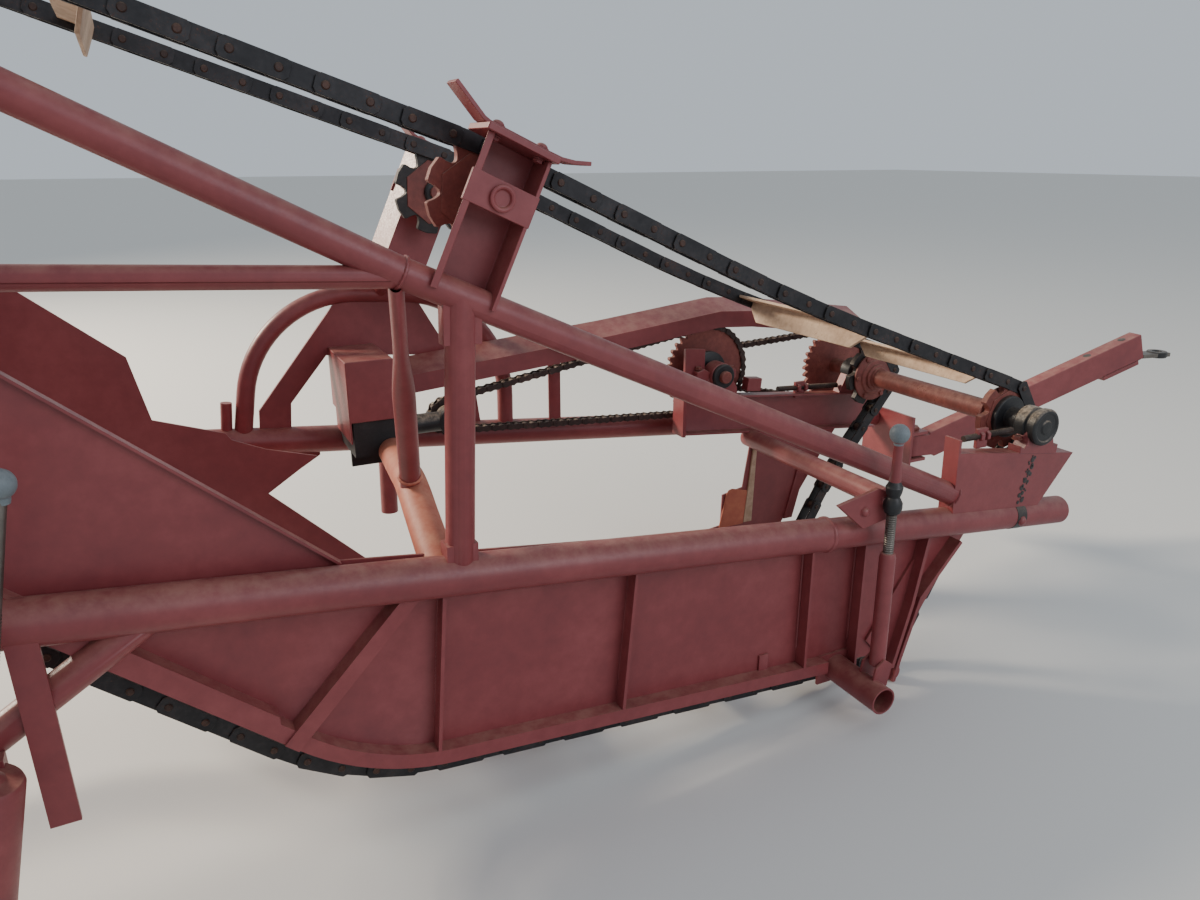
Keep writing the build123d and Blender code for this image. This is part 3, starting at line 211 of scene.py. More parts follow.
def axes(z: Vec, x_hint: Vec = LEFTWARD, origin: Vec = (0, 0, 0)) -> np.ndarray:
    """Build a transform whose z points along a direction.

    Args:
        z: Direction of the local z.
        x_hint: Direction that the local x leans to.
        origin: Place of the local origin.

    Returns:
        A 4 by 4 matrix whose columns are x, y, z and the origin.
    """
    zz = unit(np.array(z, dtype=float))
    xx = np.array(x_hint, dtype=float)
    if abs(float(np.dot(unit(xx), zz))) > 0.98:
        xx = np.array((1.0, 0.0, 0.0))
    xx = unit(xx - np.dot(xx, zz) * zz)
    out = np.eye(4)
    out[:3, 0], out[:3, 1], out[:3, 2], out[:3, 3] = xx, np.cross(zz, xx), zz, np.array(origin, dtype=float)
    return out


def lathe(profile: Rows, place: np.ndarray, sides: int = 24) -> Shell:
    """Turn a profile about a local z axis.

    Args:
        profile: Pairs of radius and height, in order from the lower end to the upper one.
        place: 4 by 4 transform of the axis.
        sides: Number of steps round the axis.

    Returns:
        The surface (r cos a, r sin a, h), closed by a face where the radius is above zero at an end.
    """
    prof = np.array(profile, dtype=float)
    heights = np.broadcast_to(prof[:, None, 1:], (len(prof), sides, 1))
    pts = np.concatenate([prof[:, None, :1] * circle(sides)[None, :, :], heights], axis=-1)
    shell = grid(pts[:, ::-1], wrap_v=True)
    caps = zip(closing(len(prof), sides), (prof[0, 0], prof[-1, 0]))
    shell.faces += [cap for cap, r in caps if r > 1e-6]
    return shell.moved(place)


def hose(path: np.ndarray, radius: float | np.ndarray, sides: int, up: Vec = LEFTWARD) -> Shell:
    """Carry a circle along a path.

    Args:
        path: n by 3 points.
        radius: One radius or one for each point.
        sides: Number of steps round the circle.
        up: Direction that is never along the path.

    Returns:
        The surface p(u) + r(u) (cos v s(u) + sin v n(u)) with closed ends, where s is up made square to the
        path's tangent and n is the tangent times s.
    """
    pts = np.array(path, dtype=float)
    tangent = unit(np.gradient(pts, axis=0))
    side = np.broadcast_to(np.array(up, dtype=float), pts.shape)
    side = unit(side - np.sum(side * tangent, axis=1, keepdims=True) * tangent)
    normal = np.cross(tangent, side)
    rad = np.broadcast_to(np.asarray(radius, dtype=float), (len(pts),))
    c, s = circle(sides).T
    ring = side[:, None] * c[None, :, None] + normal[:, None] * s[None, :, None]
    shell = grid((pts[:, None] + rad[:, None, None] * ring)[:, ::-1], wrap_v=True)
    shell.faces += closing(len(pts), sides)
    return shell


def prism(outline: Rows, low: float, high: float, place: np.ndarray | None = None) -> Shell:
    """Stretch a closed outline along a local z.

    Args:
        outline: Pairs of local x and y, anticlockwise.
        low: Height of the lower face.
        high: Height of the upper face.
        place: 4 by 4 transform of the outline's plane, or none for the plane z = 0.

    Returns:
        A closed plate with the outline as its two faces.
    """
    flat = np.array(outline, dtype=float)
    n = len(flat)
    both = np.stack([np.c_[flat, np.full(n, low)], np.c_[flat, np.full(n, high)]])
    shell = grid(both[:, ::-1], wrap_v=True)
    shell.faces += closing(2, n)
    return shell.moved(np.eye(4) if place is None else place)


def box_outline(width: float, height: float, corner: float = 0.0) -> np.ndarray:
    """Outline of a rectangle.

    Args:
        width: Size along x.
        height: Size along y.
        corner: How far each corner is cut.

    Returns:
        Two points for each of the four corners in turn, or the four corners where the cut is zero.
    """
    sign = np.array([(1, 1), (-1, 1), (-1, -1), (1, -1)], dtype=float)
    centre = sign * (np.array((width, height)) / 2 - corner)
    if corner <= 0:
        return centre
    angle = np.array([(0.0, math.pi / 2)]) + np.arange(4)[:, None] * math.pi / 2
    arc = np.stack([np.cos(angle), np.sin(angle)], axis=-1) * corner
    return (centre[:, None] + arc).reshape(-1, 2)


def upright(outline: Rows, y0: float, y1: float) -> Shell:
    """Plate in the XZ plane between two values of y.

    Args:
        outline: Pairs of x and z in either turning sense.
        y0: One face.
        y1: The other face.

    Returns:
        The prism of the outline, whose local z is minus Y.
    """
    flat = np.array(outline, dtype=float)
    following = np.roll(flat, -1, axis=0)
    area = np.sum(flat[:, 0] * following[:, 1] - following[:, 0] * flat[:, 1])
    flat = flat if area > 0 else flat[::-1]
    place = np.eye(4)
    place[:3, 1], place[:3, 2] = UP, RIGHTWARD
    return prism(flat, -max(y0, y1), -min(y0, y1), place)


def strut(p: Vec, q: Vec, width: float, height: float, up: Vec = UP) -> Shell:
    """Square-edged bar from p to q.

    Args:
        p: Start of the axis.
        q: End of the axis.
        width: Size across up.
        height: Size along up.
        up: Direction nearest to the tall side.

    Returns:
        The prism of the section along q - p.
    """
    run = np.array(q, dtype=float) - np.array(p, dtype=float)
    side = np.cross(np.array(up, dtype=float), run)
    return prism(box_outline(width, height), 0, float(np.linalg.norm(run)), axes(run, side, p))


def rod(p: Vec, q: Vec, radius: float) -> Shell:
    """Round bar from p to q."""
    run = np.array(q, dtype=float) - np.array(p, dtype=float)
    return lathe([(radius, 0), (radius, float(np.linalg.norm(run)))], axes(run, FORWARD, p))


def turned(x: float, z: float, profile: Rows, sides: int = 32) -> Shell:
    """Lathe work about an axis along Y, with pairs of radius and y."""
    return lathe(profile, axes(LEFTWARD, FORWARD, (x, 0, z)), sides)


def fasteners(places: Rows, axis: Vec, size: float, head: Head = Head.HEXAGON) -> Shell:
    """Bolt heads on washers.

    Args:
        places: Points under the washers.
        axis: Direction that the heads point to.
        size: Thread size in millimetres.
        head: Kind of head.

    Returns:
        For each place a chamfered hexagon 0.95 d in radius and 0.65 d high, or a half-round, on a washer.
    """
    base = 0.16 * size
    if head is Head.HEXAGON:
        shares = ((0.85, 0.0), (0.95, 0.08), (0.95, 0.55), (0.7, 0.65))
        profile = [(r * size, base + h * size) for r, h in shares]
    else:
        angle = np.linspace(0, math.pi / 2, 5)
        profile = np.c_[0.95 * size * np.cos(angle) + 0.01, base + 0.6 * size * np.sin(angle)]
    washer = lathe([(1.15 * size, 0), (1.15 * size, base)], np.eye(4), 16)
    one = lathe(profile, np.eye(4), head.value) + washer
    return one.moved(np.stack([axes(axis, UP, place) for place in places]))


def weld(p: Vec, q: Vec, radius: float) -> Shell:
    """Weld bead from p to q.

    Args:
        p: Start of the seam.
        q: End of the seam.
        radius: Half width of the bead.

    Returns:
        A hose whose radius is r (1 + 0.16 sin(2 pi s / 9 mm)), the ripple that each pool of metal leaves.
    """
    start, end = np.array(p, dtype=float), np.array(q, dtype=float)
    length = float(np.linalg.norm(end - start))
    t = np.linspace(0, 1, max(int(length / 3.0), 4))
    ripple = radius * (1 + 0.16 * np.sin(TAU * t * length / 9.0))
    return hose(start + t[:, None] * (end - start), ripple, 6)


def gear_outline(root: float, tip: float, teeth: int, shares: Rows, phase: float = 0.0) -> np.ndarray:
    """Outline of a toothed wheel.

    Args:
        root: Radius between the teeth.
        tip: Radius at the teeth.
        teeth: Number of teeth.
        shares: Points of one tooth: a share of the pitch from -0.5 to 0.5, and a share from root to tip.
        phase: Angle of the first tooth.

    Returns:
        Points (r cos a, r sin a), anticlockwise, with r = root + share (tip - root).
    """
    tooth = np.array(shares, dtype=float)
    angle = phase + TAU * (np.arange(teeth)[:, None] + tooth[None, :, 0]) / teeth
    radius = root + tooth[None, :, 1] * (tip - root) + 0 * angle
    return np.stack([radius * np.cos(angle), radius * np.sin(angle)], axis=-1).reshape(-1, 2)


@dataclass
class Loop:
    """Belt or chain round circles (x, z, radius), anticlockwise with X to the right and Z up.

    A circle of negative radius lies outside and presses the belt in.
    """

    rounds: Rows

    def __post_init__(self) -> None:
        """Work out the straight spans and the arcs between them."""
        here = np.array(self.rounds, dtype=float)
        there = np.roll(here, -1, axis=0)
        delta = there[:, :2] - here[:, :2]
        lean = np.arcsin((there[:, 2] - here[:, 2]) / np.linalg.norm(delta, axis=1))
        self.out = np.arctan2(delta[:, 1], delta[:, 0]) - math.pi / 2 - lean
        ray = np.stack([np.cos(self.out), np.sin(self.out)], axis=-1)
        self.start = here[:, :2] + here[:, 2:] * ray
        self.end = there[:, :2] + there[:, 2:] * ray
        self.centre = there
        turn = (np.roll(self.out, -1) - self.out) % TAU
        turn = np.where(there[:, 2] > 0, turn, turn - TAU)
        straight = np.linalg.norm(self.end - self.start, axis=1)
        self.lengths = np.stack([straight, there[:, 2] * turn], axis=-1).reshape(-1)
        self.cum = np.concatenate([[0.0], np.cumsum(self.lengths)])

    def slack(self, i: int, ease: float) -> tuple[float, float, float]:
        """Outer circle that presses span i in at its middle.

        Args:
            i: Number of the span.
            ease: How far the belt hangs in from the straight span.

        Returns:
            Its x, z and negative radius, where the radius is the span squared over 16 times the ease.
        """
        radius = self.lengths[2 * i] ** 2 / (16 * ease)
        ray = np.array((math.cos(self.out[i]), math.sin(self.out[i])))
        centre = (self.start[i] + self.end[i]) / 2 + (radius - ease) * ray
        return float(centre[0]), float(centre[1]), -float(radius)

    def place(self, s: np.ndarray) -> tuple[np.ndarray, np.ndarray]:
        """Find places along the loop.

        Args:
            s: Distances from the loop's start.

        Returns:
            Points (x, z) and outward angles: on a span the start plus the distance along it, on an arc the
            centre plus the radius at the span's angle plus distance over radius.
        """
        s = np.asarray(s, dtype=float) % self.cum[-1]
        stretch = np.clip(np.searchsorted(self.cum, s, side="right") - 1, 0, len(self.lengths) - 1)
        k, local = stretch // 2, s - self.cum[stretch]
        along = np.stack([-np.sin(self.out[k]), np.cos(self.out[k])], axis=-1)
        on_span = self.start[k] + local[:, None] * along
        angle = self.out[k] + np.where(stretch % 2 == 1, local / self.centre[k, 2], 0.0)
        ray = np.stack([np.cos(angle), np.sin(angle)], axis=-1)
        on_arc = self.centre[k, :2] + self.centre[k, 2:] * ray
        return np.where((stretch % 2 == 1)[:, None], on_arc, on_span), angle

    def joints(self, pitch: float) -> np.ndarray:
        """Points of an even number of joints, about one pitch apart."""
        count = 2 * round(self.cum[-1] / pitch / 2)
        return self.place(np.arange(count) * self.cum[-1] / count)[0]

    def links(self, pitch: float, y: float) -> np.ndarray:
        """Transforms of the links.

        Args:
            pitch: Distance between joints.
            y: Plane of the chain.

        Returns:
            One matrix for each link at its middle, with x along the link, y outward and z along Y.
        """
        points = self.joints(pitch)
        after = np.roll(points, -1, axis=0)
        along, middle = unit(after - points), (points + after) / 2
        out = np.zeros((len(points), 4, 4))
        out[:, 0, 0], out[:, 2, 0] = along[:, 0], along[:, 1]
        out[:, 0, 1], out[:, 2, 1] = along[:, 1], -along[:, 0]
        out[:, 1, 2] = out[:, 3, 3] = 1.0
        out[:, 0, 3], out[:, 1, 3], out[:, 2, 3] = middle[:, 0], y, middle[:, 1]
        return out


# Materials


# Dried soil, and the darkest and the lightest rust
SOIL, DARK_RUST, LIGHT_RUST = "B39E86", "3A2018", "8A4E30"
# Width of the finest blotches, in millimetres
GRAIN = 5.0


def add(tree: Tree, kind: str, links: dict | None = None, **settings: object) -> bpy.types.Node:
    """Add a shader node with its settings and links.

    Args:
        tree: Node tree that takes the node.
        kind: Node type, such as ShaderNodeTexNoise.
        links: Input name or number to a value or to another node's output.
        settings: Properties of the node.

    Returns:
        The new node.
    """
    node = tree.nodes.new(kind)
    for key, value in settings.items():
        setattr(node, key, value)
    for key, value in (links or {}).items():
        if isinstance(value, Socket):
            tree.links.new(value, node.inputs[key])
        else:
            node.inputs[key].default_value = value
    return node


def ramp(tree: Tree, factor: Socket, stops: Sequence[tuple[float, tuple]]) -> Socket:
    """Colour a factor by a row of stops.

    Args:
        tree: Node tree.
        factor: Socket of the factor.
        stops: Pairs of place and linear colour.

    Returns:
        The colour socket.
    """
    node = add(tree, "ShaderNodeValToRGB", {0: factor})
    table = node.color_ramp.elements
    while len(table) < len(stops):
        table.new(0.5)
    for element, (place, colour) in zip(table, stops):
        element.position = place
        element.color = colour
    return node.outputs["Color"]


def span(tree: Tree, value: Socket, source: Vec, target: Vec) -> Socket:
    """Map a value from one range to another, held at its ends."""
    links = {0: value, 1: source[0], 2: source[1], 3: target[0], 4: target[1]}
    return add(tree, "ShaderNodeMapRange", links).outputs[0]


def mix(tree: Tree, share: float | Socket, first: Socket, second: float | Socket) -> Socket:
    """Mix two numbers by a share."""
    return add(tree, "ShaderNodeMix", {0: share, 2: first, 3: second}, data_type="FLOAT").outputs[0]


def blend(tree: Tree, share: Socket, first: Socket, second: tuple | Socket) -> Socket:
    """Mix two colours by a share."""
    return add(tree, "ShaderNodeMix", {0: share, 6: first, 7: second}, data_type="RGBA").outputs[2]


def noise(tree: Tree, place: Socket, size_mm: float, detail: float, roughness: float) -> Socket:
    """Noise whose blotches are about size_mm wide."""
    links = {"Vector": place, "Scale": 1.0 / (size_mm * MM), "Detail": detail, "Roughness": roughness}
    return add(tree, "ShaderNodeTexNoise", links).outputs[0]


@dataclass(frozen=True)
class Finish:
    """Common ground of all the finishes: a principled surface with noise for colour, gloss and relief."""

    name: str
    slot: str
    base: str
    shade: str
    light: str
    rust: str = "6E3A24"
    rust_share: float = 0.1
    dust_share: float = 0.25
    roughness: float = 0.5
    metallic: float = 0.0
    patch_mm: float = 260.0
    bump_mm: float = 0.3

    def build(self) -> bpy.types.Material:
        """Make the material.

        Returns:
            A material whose colour is base, shade and light mixed by noise of patch_mm, with specks of rust
            where a finer noise passes a threshold set by rust_share, and dust where the surface faces up.
        """
        material = bpy.data.materials.new(self.name)
        material.use_nodes = True
        tree = material.node_tree
        tree.nodes.clear()
        coordinates = add(tree, "ShaderNodeTexCoord")
        place = coordinates.outputs["Object"]
        patch = noise(tree, place, self.patch_mm, 4.0, 0.55)
        middle = noise(tree, place, self.patch_mm / 7.0, 6.0, 0.65)
        fine = noise(tree, place, GRAIN, 3.0, 0.6)
        tones = [(0.3, linear(self.shade)), (0.5, linear(self.base)), (0.7, linear(self.light))]
        colour = ramp(tree, mix(tree, 0.4, patch, middle), tones)
        facing = add(tree, "ShaderNodeSeparateXYZ", {0: coordinates.outputs["Normal"]}).outputs["Z"]
        up = span(tree, facing, (0.2, 0.95), (0.0, self.dust_share))
        settled = span(tree, middle, (0.36, 0.62), (0.25, 1.0))
        dust = add(tree, "ShaderNodeMath", {0: up, 1: settled}, operation="MULTIPLY").outputs[0]
        colour = blend(tree, dust, colour, linear(SOIL))
        flake = noise(tree, place, self.patch_mm / 16.0, 8.0, 0.72)
        edge = 0.74 - 0.35 * self.rust_share
        rust = span(tree, mix(tree, 0.35, flake, patch), (edge - 0.03, edge + 0.05), (0.0, 0.85))
        rusts = [(0.3, linear(DARK_RUST)), (0.55, linear(self.rust)), (0.75, linear(LIGHT_RUST))]
        colour = blend(tree, rust, colour, ramp(tree, fine, rusts))
        rough = span(tree, fine, (0.3, 0.7), (self.roughness - 0.06, self.roughness + 0.08))
        rough = mix(tree, rust, rough, 0.85)
        relief = {"Height": mix(tree, 0.5, fine, middle), "Strength": 0.4, "Distance": self.bump_mm * MM}
        bump = add(tree, "ShaderNodeBump", relief).outputs[0]
        links = {"Base Color": colour, "Roughness": rough, "Normal": bump}
        shader = add(tree, "ShaderNodeBsdfPrincipled", links)
        if self.metallic > 0:
            tree.links.new(span(tree, rust, (0.0, 0.85), (self.metallic, 0.0)), shader.inputs["Metallic"])
        add(tree, "ShaderNodeOutputMaterial", {"Surface": shader.outputs[0]})
        return material


# Alkyd enamel on hot-rolled steel, faded by sun: satin, chalky and a little purple where it is shaded
FADED_RED = Finish(
    "faded_red_enamel", "red_paint", base="813A3C", shade="723135", light="914748", rust_share=0.08,
    roughness=0.42)
# The same enamel worn through to rust on the cross tube: orange and matt
RUST_ORANGE = Finish(
    "rusted_orange_enamel", "rust_orange_paint", base="B0604A", shade="94493A", light="C87C5C",
    rust_share=0.3, roughness=0.6)
# Hot-rolled link plates under old oil and dust: near black, with a dull gleam
CHAIN_STEEL = Finish(
    "oiled_chain_steel", "chain_steel", base="2D2C2E", shade="1C1B1D", light="423F40", rust="4A2E22",
    rust_share=0.42, roughness=0.5, metallic=0.5, patch_mm=70)
# Plate scoured by stones and dried soil: pale tan and matt; the same pale tan paints sunlight on the left
# wall's front flange
FLIGHT_STEEL_AND_PAINTED_SUNLIGHT = Finish(
    "scoured_plate_steel", "flight_steel", base="B79C84", shade="94785F", light="D2BA9E", rust="8A5A3C",
    rust_share=0.35, roughness=0.68, metallic=0.15, patch_mm=110)
# Machined steel worn bright: grey with a fine scratch
BARE_STEEL = Finish(
    "worn_bright_steel", "bare_steel", base="6E6862", shade="4C4642", light="8F8A84", rust_share=0.3,
    roughness=0.4, metallic=0.8)
# Chain pins and rollers under old oil: dark rusty brown, with a dull gleam
PIN_STEEL = Finish(
    "rusty_pin_steel", "chain_steel", base="3E2C26", shade="2A201D", light="573C31", rust_share=0.3,
    roughness=0.5, metallic=0.4, patch_mm=50)
# Hardened tooth edges polished and oiled by the chain: near black
TOOTH_STEEL = Finish(
    "oiled_tooth_steel", "sprocket_steel", base="2B2726", shade="1E1B1B", light="3E3836", rust="4A2E22",
    rust_share=0.2, roughness=0.45, metallic=0.4, patch_mm=60)
# Flame-cut sprocket plate painted red and worn to brown: matt
SPROCKET_STEEL = Finish(
    "worn_sprocket_enamel", "sprocket_steel", base="7A3F38", shade="5C2F2A", light="95554A",
    rust_share=0.4, roughness=0.6, metallic=0.1, patch_mm=110)
# Grey iron casting under black oil, with dry soil on top: dark and dull
BEARING_IRON = Finish(
    "black_cast_iron", "bearing_iron", base="1C1C1D", shade="121213", light="2C2C2D", rust="3A241A",
    rust_share=0.05, dust_share=0.95, roughness=0.5, patch_mm=60, bump_mm=0.5)
# Grey iron and steel kept wet with oil: black, with little dust
OILED_IRON = Finish(
    "oiled_black_iron", "bearing_iron", base="1B1B1D", shade="111113", light="29292B", rust="33221A",
    rust_share=0.1, dust_share=0.15, roughness=0.45, patch_mm=60, bump_mm=0.5)
# Thick grease thrown out of the bearing: black and glossy
GREASE = Finish(
    "thrown_black_grease", "black_paint", base="241E1D", shade="181413", light="332B28", rust="3A2A22",
    rust_share=0.1, roughness=0.35, patch_mm=40)
# Roller chain with rusted plates: dark brown
DRIVE_STEEL = Finish(
    "rusted_chain_steel", "chain_steel", base="3A2B27", shade="241B19", light="54403A", rust="5C3A2A",
    rust_share=0.4, roughness=0.55, metallic=0.35, patch_mm=60)
# Moulded polyethylene bleached by weather: even, smooth and matt
GREY_PLASTIC = Finish(
    "weathered_grey_polyethylene", "grey_plastic", base="6E777B", shade="5F686C", light="7F878A",
    rust_share=-0.9, dust_share=0.1, roughness=0.5, patch_mm=30, bump_mm=0.1)
# Vulcanised rubber, greyed by field dust: nearly black and matt
TYRE_RUBBER = Finish(
    "worn_tyre_rubber", "tyre_rubber", base="1F1E1D", shade="161514", light="302D2A", rust_share=-0.9,
    dust_share=0.3, roughness=0.85)
# Sprayed wheel enamel, yellowed: satin cream
WHEEL_PAINT = Finish(
    "cream_wheel_enamel", "wheel_paint", base="C9BFA8", shade="B0A58E", light="DAD2BE", rust_share=0.15,
    roughness=0.45)
# Hard chrome on a ground rod: mirror-like
CHROME_ROD = Finish(
    "hard_chrome_rod", "chrome_rod", base="D8D8D6", shade="CCCCCA", light="E4E4E2", rust_share=-0.9,
    roughness=0.14, metallic=1.0, dust_share=0.02, bump_mm=0.02)
# Black enamel on the cylinder's barrel: dull gloss; also the painted shade inside the drawbar's holes
BLACK_ENAMEL_AND_HOLE_SHADE = Finish(
    "black_ram_enamel", "black_paint", base="1C1C1E", shade="141416", light="28282A", rust_share=0.05,
    roughness=0.4)
# Finish of each record slot, for the nodes of the CAD
SLOT_FINISHES = {finish.slot: finish for finish in (
    FADED_RED, RUST_ORANGE, CHAIN_STEEL, FLIGHT_STEEL_AND_PAINTED_SUNLIGHT, BARE_STEEL, SPROCKET_STEEL, BEARING_IRON, GREY_PLASTIC,
    TYRE_RUBBER, WHEEL_PAINT, CHROME_ROD, BLACK_ENAMEL_AND_HOLE_SHADE)}


class Workshop:
    """Makes objects of shells and of CAD nodes, and gives them finishes."""

    def __init__(self, frame: dict) -> None:
        """Start with the loaded frame and no materials made.
        """
        parts = frame["record"]["subparts"]
        self.nodes = frame["nodes"]
        self.made: dict[str, bpy.types.Material] = {}
        self.finish_of = {part["node"]: SLOT_FINISHES[part["material_slot"]] for part in parts}

    def material(self, finish: Finish) -> bpy.types.Material:
        """Material of a finish, made at its first use."""
        if finish.name not in self.made:
            self.made[finish.name] = finish.build()
        return self.made[finish.name]

    def dress_nodes(self) -> None:
        """Give every CAD node the finish of its record slot."""
        for name, obj in self.nodes.items():
            material = self.material(self.finish_of[name])
            for slot in obj.material_slots:
                slot.material = material
            if not obj.material_slots:
                obj.data.materials.append(material)

    def finished(self, name: str, mesh: bpy.types.Mesh, finish: Finish, body: str, stands_for: Sequence[str],
                 bevel_mm: float) -> None:
        """Make an object of a mesh, round its edges and put it on its body.

        Args:
            name: Name of the piece.
            mesh: Its mesh, in the row frame.
            finish: Its finish.
            body: CAD body that it moves with.
            stands_for: CAD nodes that it replaces.
            bevel_mm: Width of its rounded edges.
        """
        obj = bpy.data.objects.new(name, mesh)
        bpy.context.scene.collection.objects.link(obj)
        mesh.materials.clear()
        mesh.materials.append(self.material(finish))
        mesh.polygons.foreach_set("use_smooth", np.ones(len(mesh.polygons), dtype=bool))
        mesh.set_sharp_from_angle(angle=math.radians(32))
        if bevel_mm > 0:
            bevel = obj.modifiers.new("edges", "BEVEL")
            bevel.width = bevel_mm * MM
            bevel.segments = 2
            bevel.limit_method = "ANGLE"
            bevel.angle_limit = math.radians(35)
            bevel.harden_normals = True
        if stands_for:
            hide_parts(*stands_for)
        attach(obj, body)
        LOG.info("%s: %d faces", name, len(mesh.polygons))

    def put(self, name: str, shells: Shell | Sequence[Shell], finish: Finish, body: str = FRAME,
            stands_for: Sequence[str] = (), bevel_mm: float = 0.0) -> None:
        """Make an object at the origin, with its place in its mesh.

        Args:
            name: Name of the piece.
            shells: Its surface in station millimetres, in one shell or several.
            finish: Its finish.
            body: CAD body that it moves with.
            stands_for: CAD nodes that it replaces.
            bevel_mm: Width of its rounded edges.
        """
        shell = shells if isinstance(shells, Shell) else joined(shells)
        mesh = bpy.data.meshes.new(name)
        faces = [face for group in shell.faces for face in group.tolist()]
        mesh.from_pydata(at(shell.points).tolist(), [], faces)
        self.finished(name, mesh, finish, body, stands_for, bevel_mm)

    def eased(self, node: str, bevel_mm: float, body: str = FRAME) -> None:
        """Replace a CAD node with a copy that has merged faces and rounded edges.

        Args:
            node: CAD node.
            bevel_mm: Width of the rounded edges.
            body: CAD body of the node.
        """
        mesh = self.nodes[node].data.copy()
        work = bmesh.new()
        work.from_mesh(mesh)
        bmesh.ops.remove_doubles(work, verts=work.verts, dist=0.02 * MM)
        bmesh.ops.dissolve_limit(work, angle_limit=math.radians(1.0), verts=work.verts, edges=work.edges)
        work.to_mesh(mesh)
        work.free()
        self.finished(node + "_dressed", mesh, self.finish_of[node], body, [node], bevel_mm)


# Sub-assemblies


# Conveyor: pitch and planes of its chains, slack of their front and top runs
CHAIN_PITCH = 80.0
CHAIN_Y = 278.0
FRONT_SLACK, TOP_SLACK = 26.0, 28.0
# Teeth and pitch radius of the conveyor's sprockets
TEETH = 7
WHEEL_R = CHAIN_PITCH / (2.0 * math.sin(math.pi / TEETH))
# Axes of the conveyor's sprockets as x and z
FRONT = (2223.0, 733.0)
HEAD = (-2000.0, 2291.0)
IDLERS = {Side.RIGHT: (612.0, 1391.0), Side.LEFT: (697.0, 1375.0)}
# Roller chains of the drive: pitch, and the planes of the first and the second
DRIVE_PITCH = 25.4
DRIVE_Y, SECOND_Y = 434.0, 470.0
# Axes of the gearbox's output and the countershaft as x and z
GEARBOX = (740.0, 741.0)
COUNTER = (1641.0, 782.0)
# Main tubes on the right and on the left, and the outer face of the trough's walls
TUBE_Y = 382.25
LEFT_TUBE_Y = 530.0
OUT = 341.0
# Slope of the front rails
RAIL_RUN = (1500.0, 0.0, -693.0)


def tube_z(x: float, side: Side) -> float:
    """Height of a main tube's axis at station x."""
    if side is Side.RIGHT:
        return 447.0 + (2318.0 - x) * math.tan(math.radians(6.0))
    return 618.0 + (1149.0 - x) * math.tan(math.radians(5.6))


def beam_z(x: float) -> float:
    """Height of the channel beam's middle line at station x."""
    return tube_z(x, Side.LEFT) + 78.0


def on_tube(x: float) -> np.ndarray:
    """Point on the right main tube's axis at station x."""
    return np.array((x, -TUBE_Y, tube_z(x, Side.RIGHT)))


def rail_frame() -> tuple[np.ndarray, np.ndarray]:
    """Directions down the front rails and square to them."""
    run = unit(np.array(RAIL_RUN))
    return run, np.array((-run[2], 0.0, run[0]))


def chain_loop(idler: Vec) -> Loop:
    """Loop of the conveyor chain over one idler, slack on its front and top runs.

    Args:
        idler: Its axis as x and z.

    Returns:
        The loop round the trough's rear bend, its front toe, the front sprocket, the idler and the head.
    """
    wheels = [(*axis, WHEEL_R) for axis in (FRONT, idler, HEAD)]
    rounds = [(516.0, 726.0, 600.0), (1815.0, 122.0, WHEEL_R), *wheels]
    taut = Loop(rounds)
    return Loop(rounds[:2] + [taut.slack(1, FRONT_SLACK), rounds[2], taut.slack(2, TOP_SLACK)] + rounds[3:])


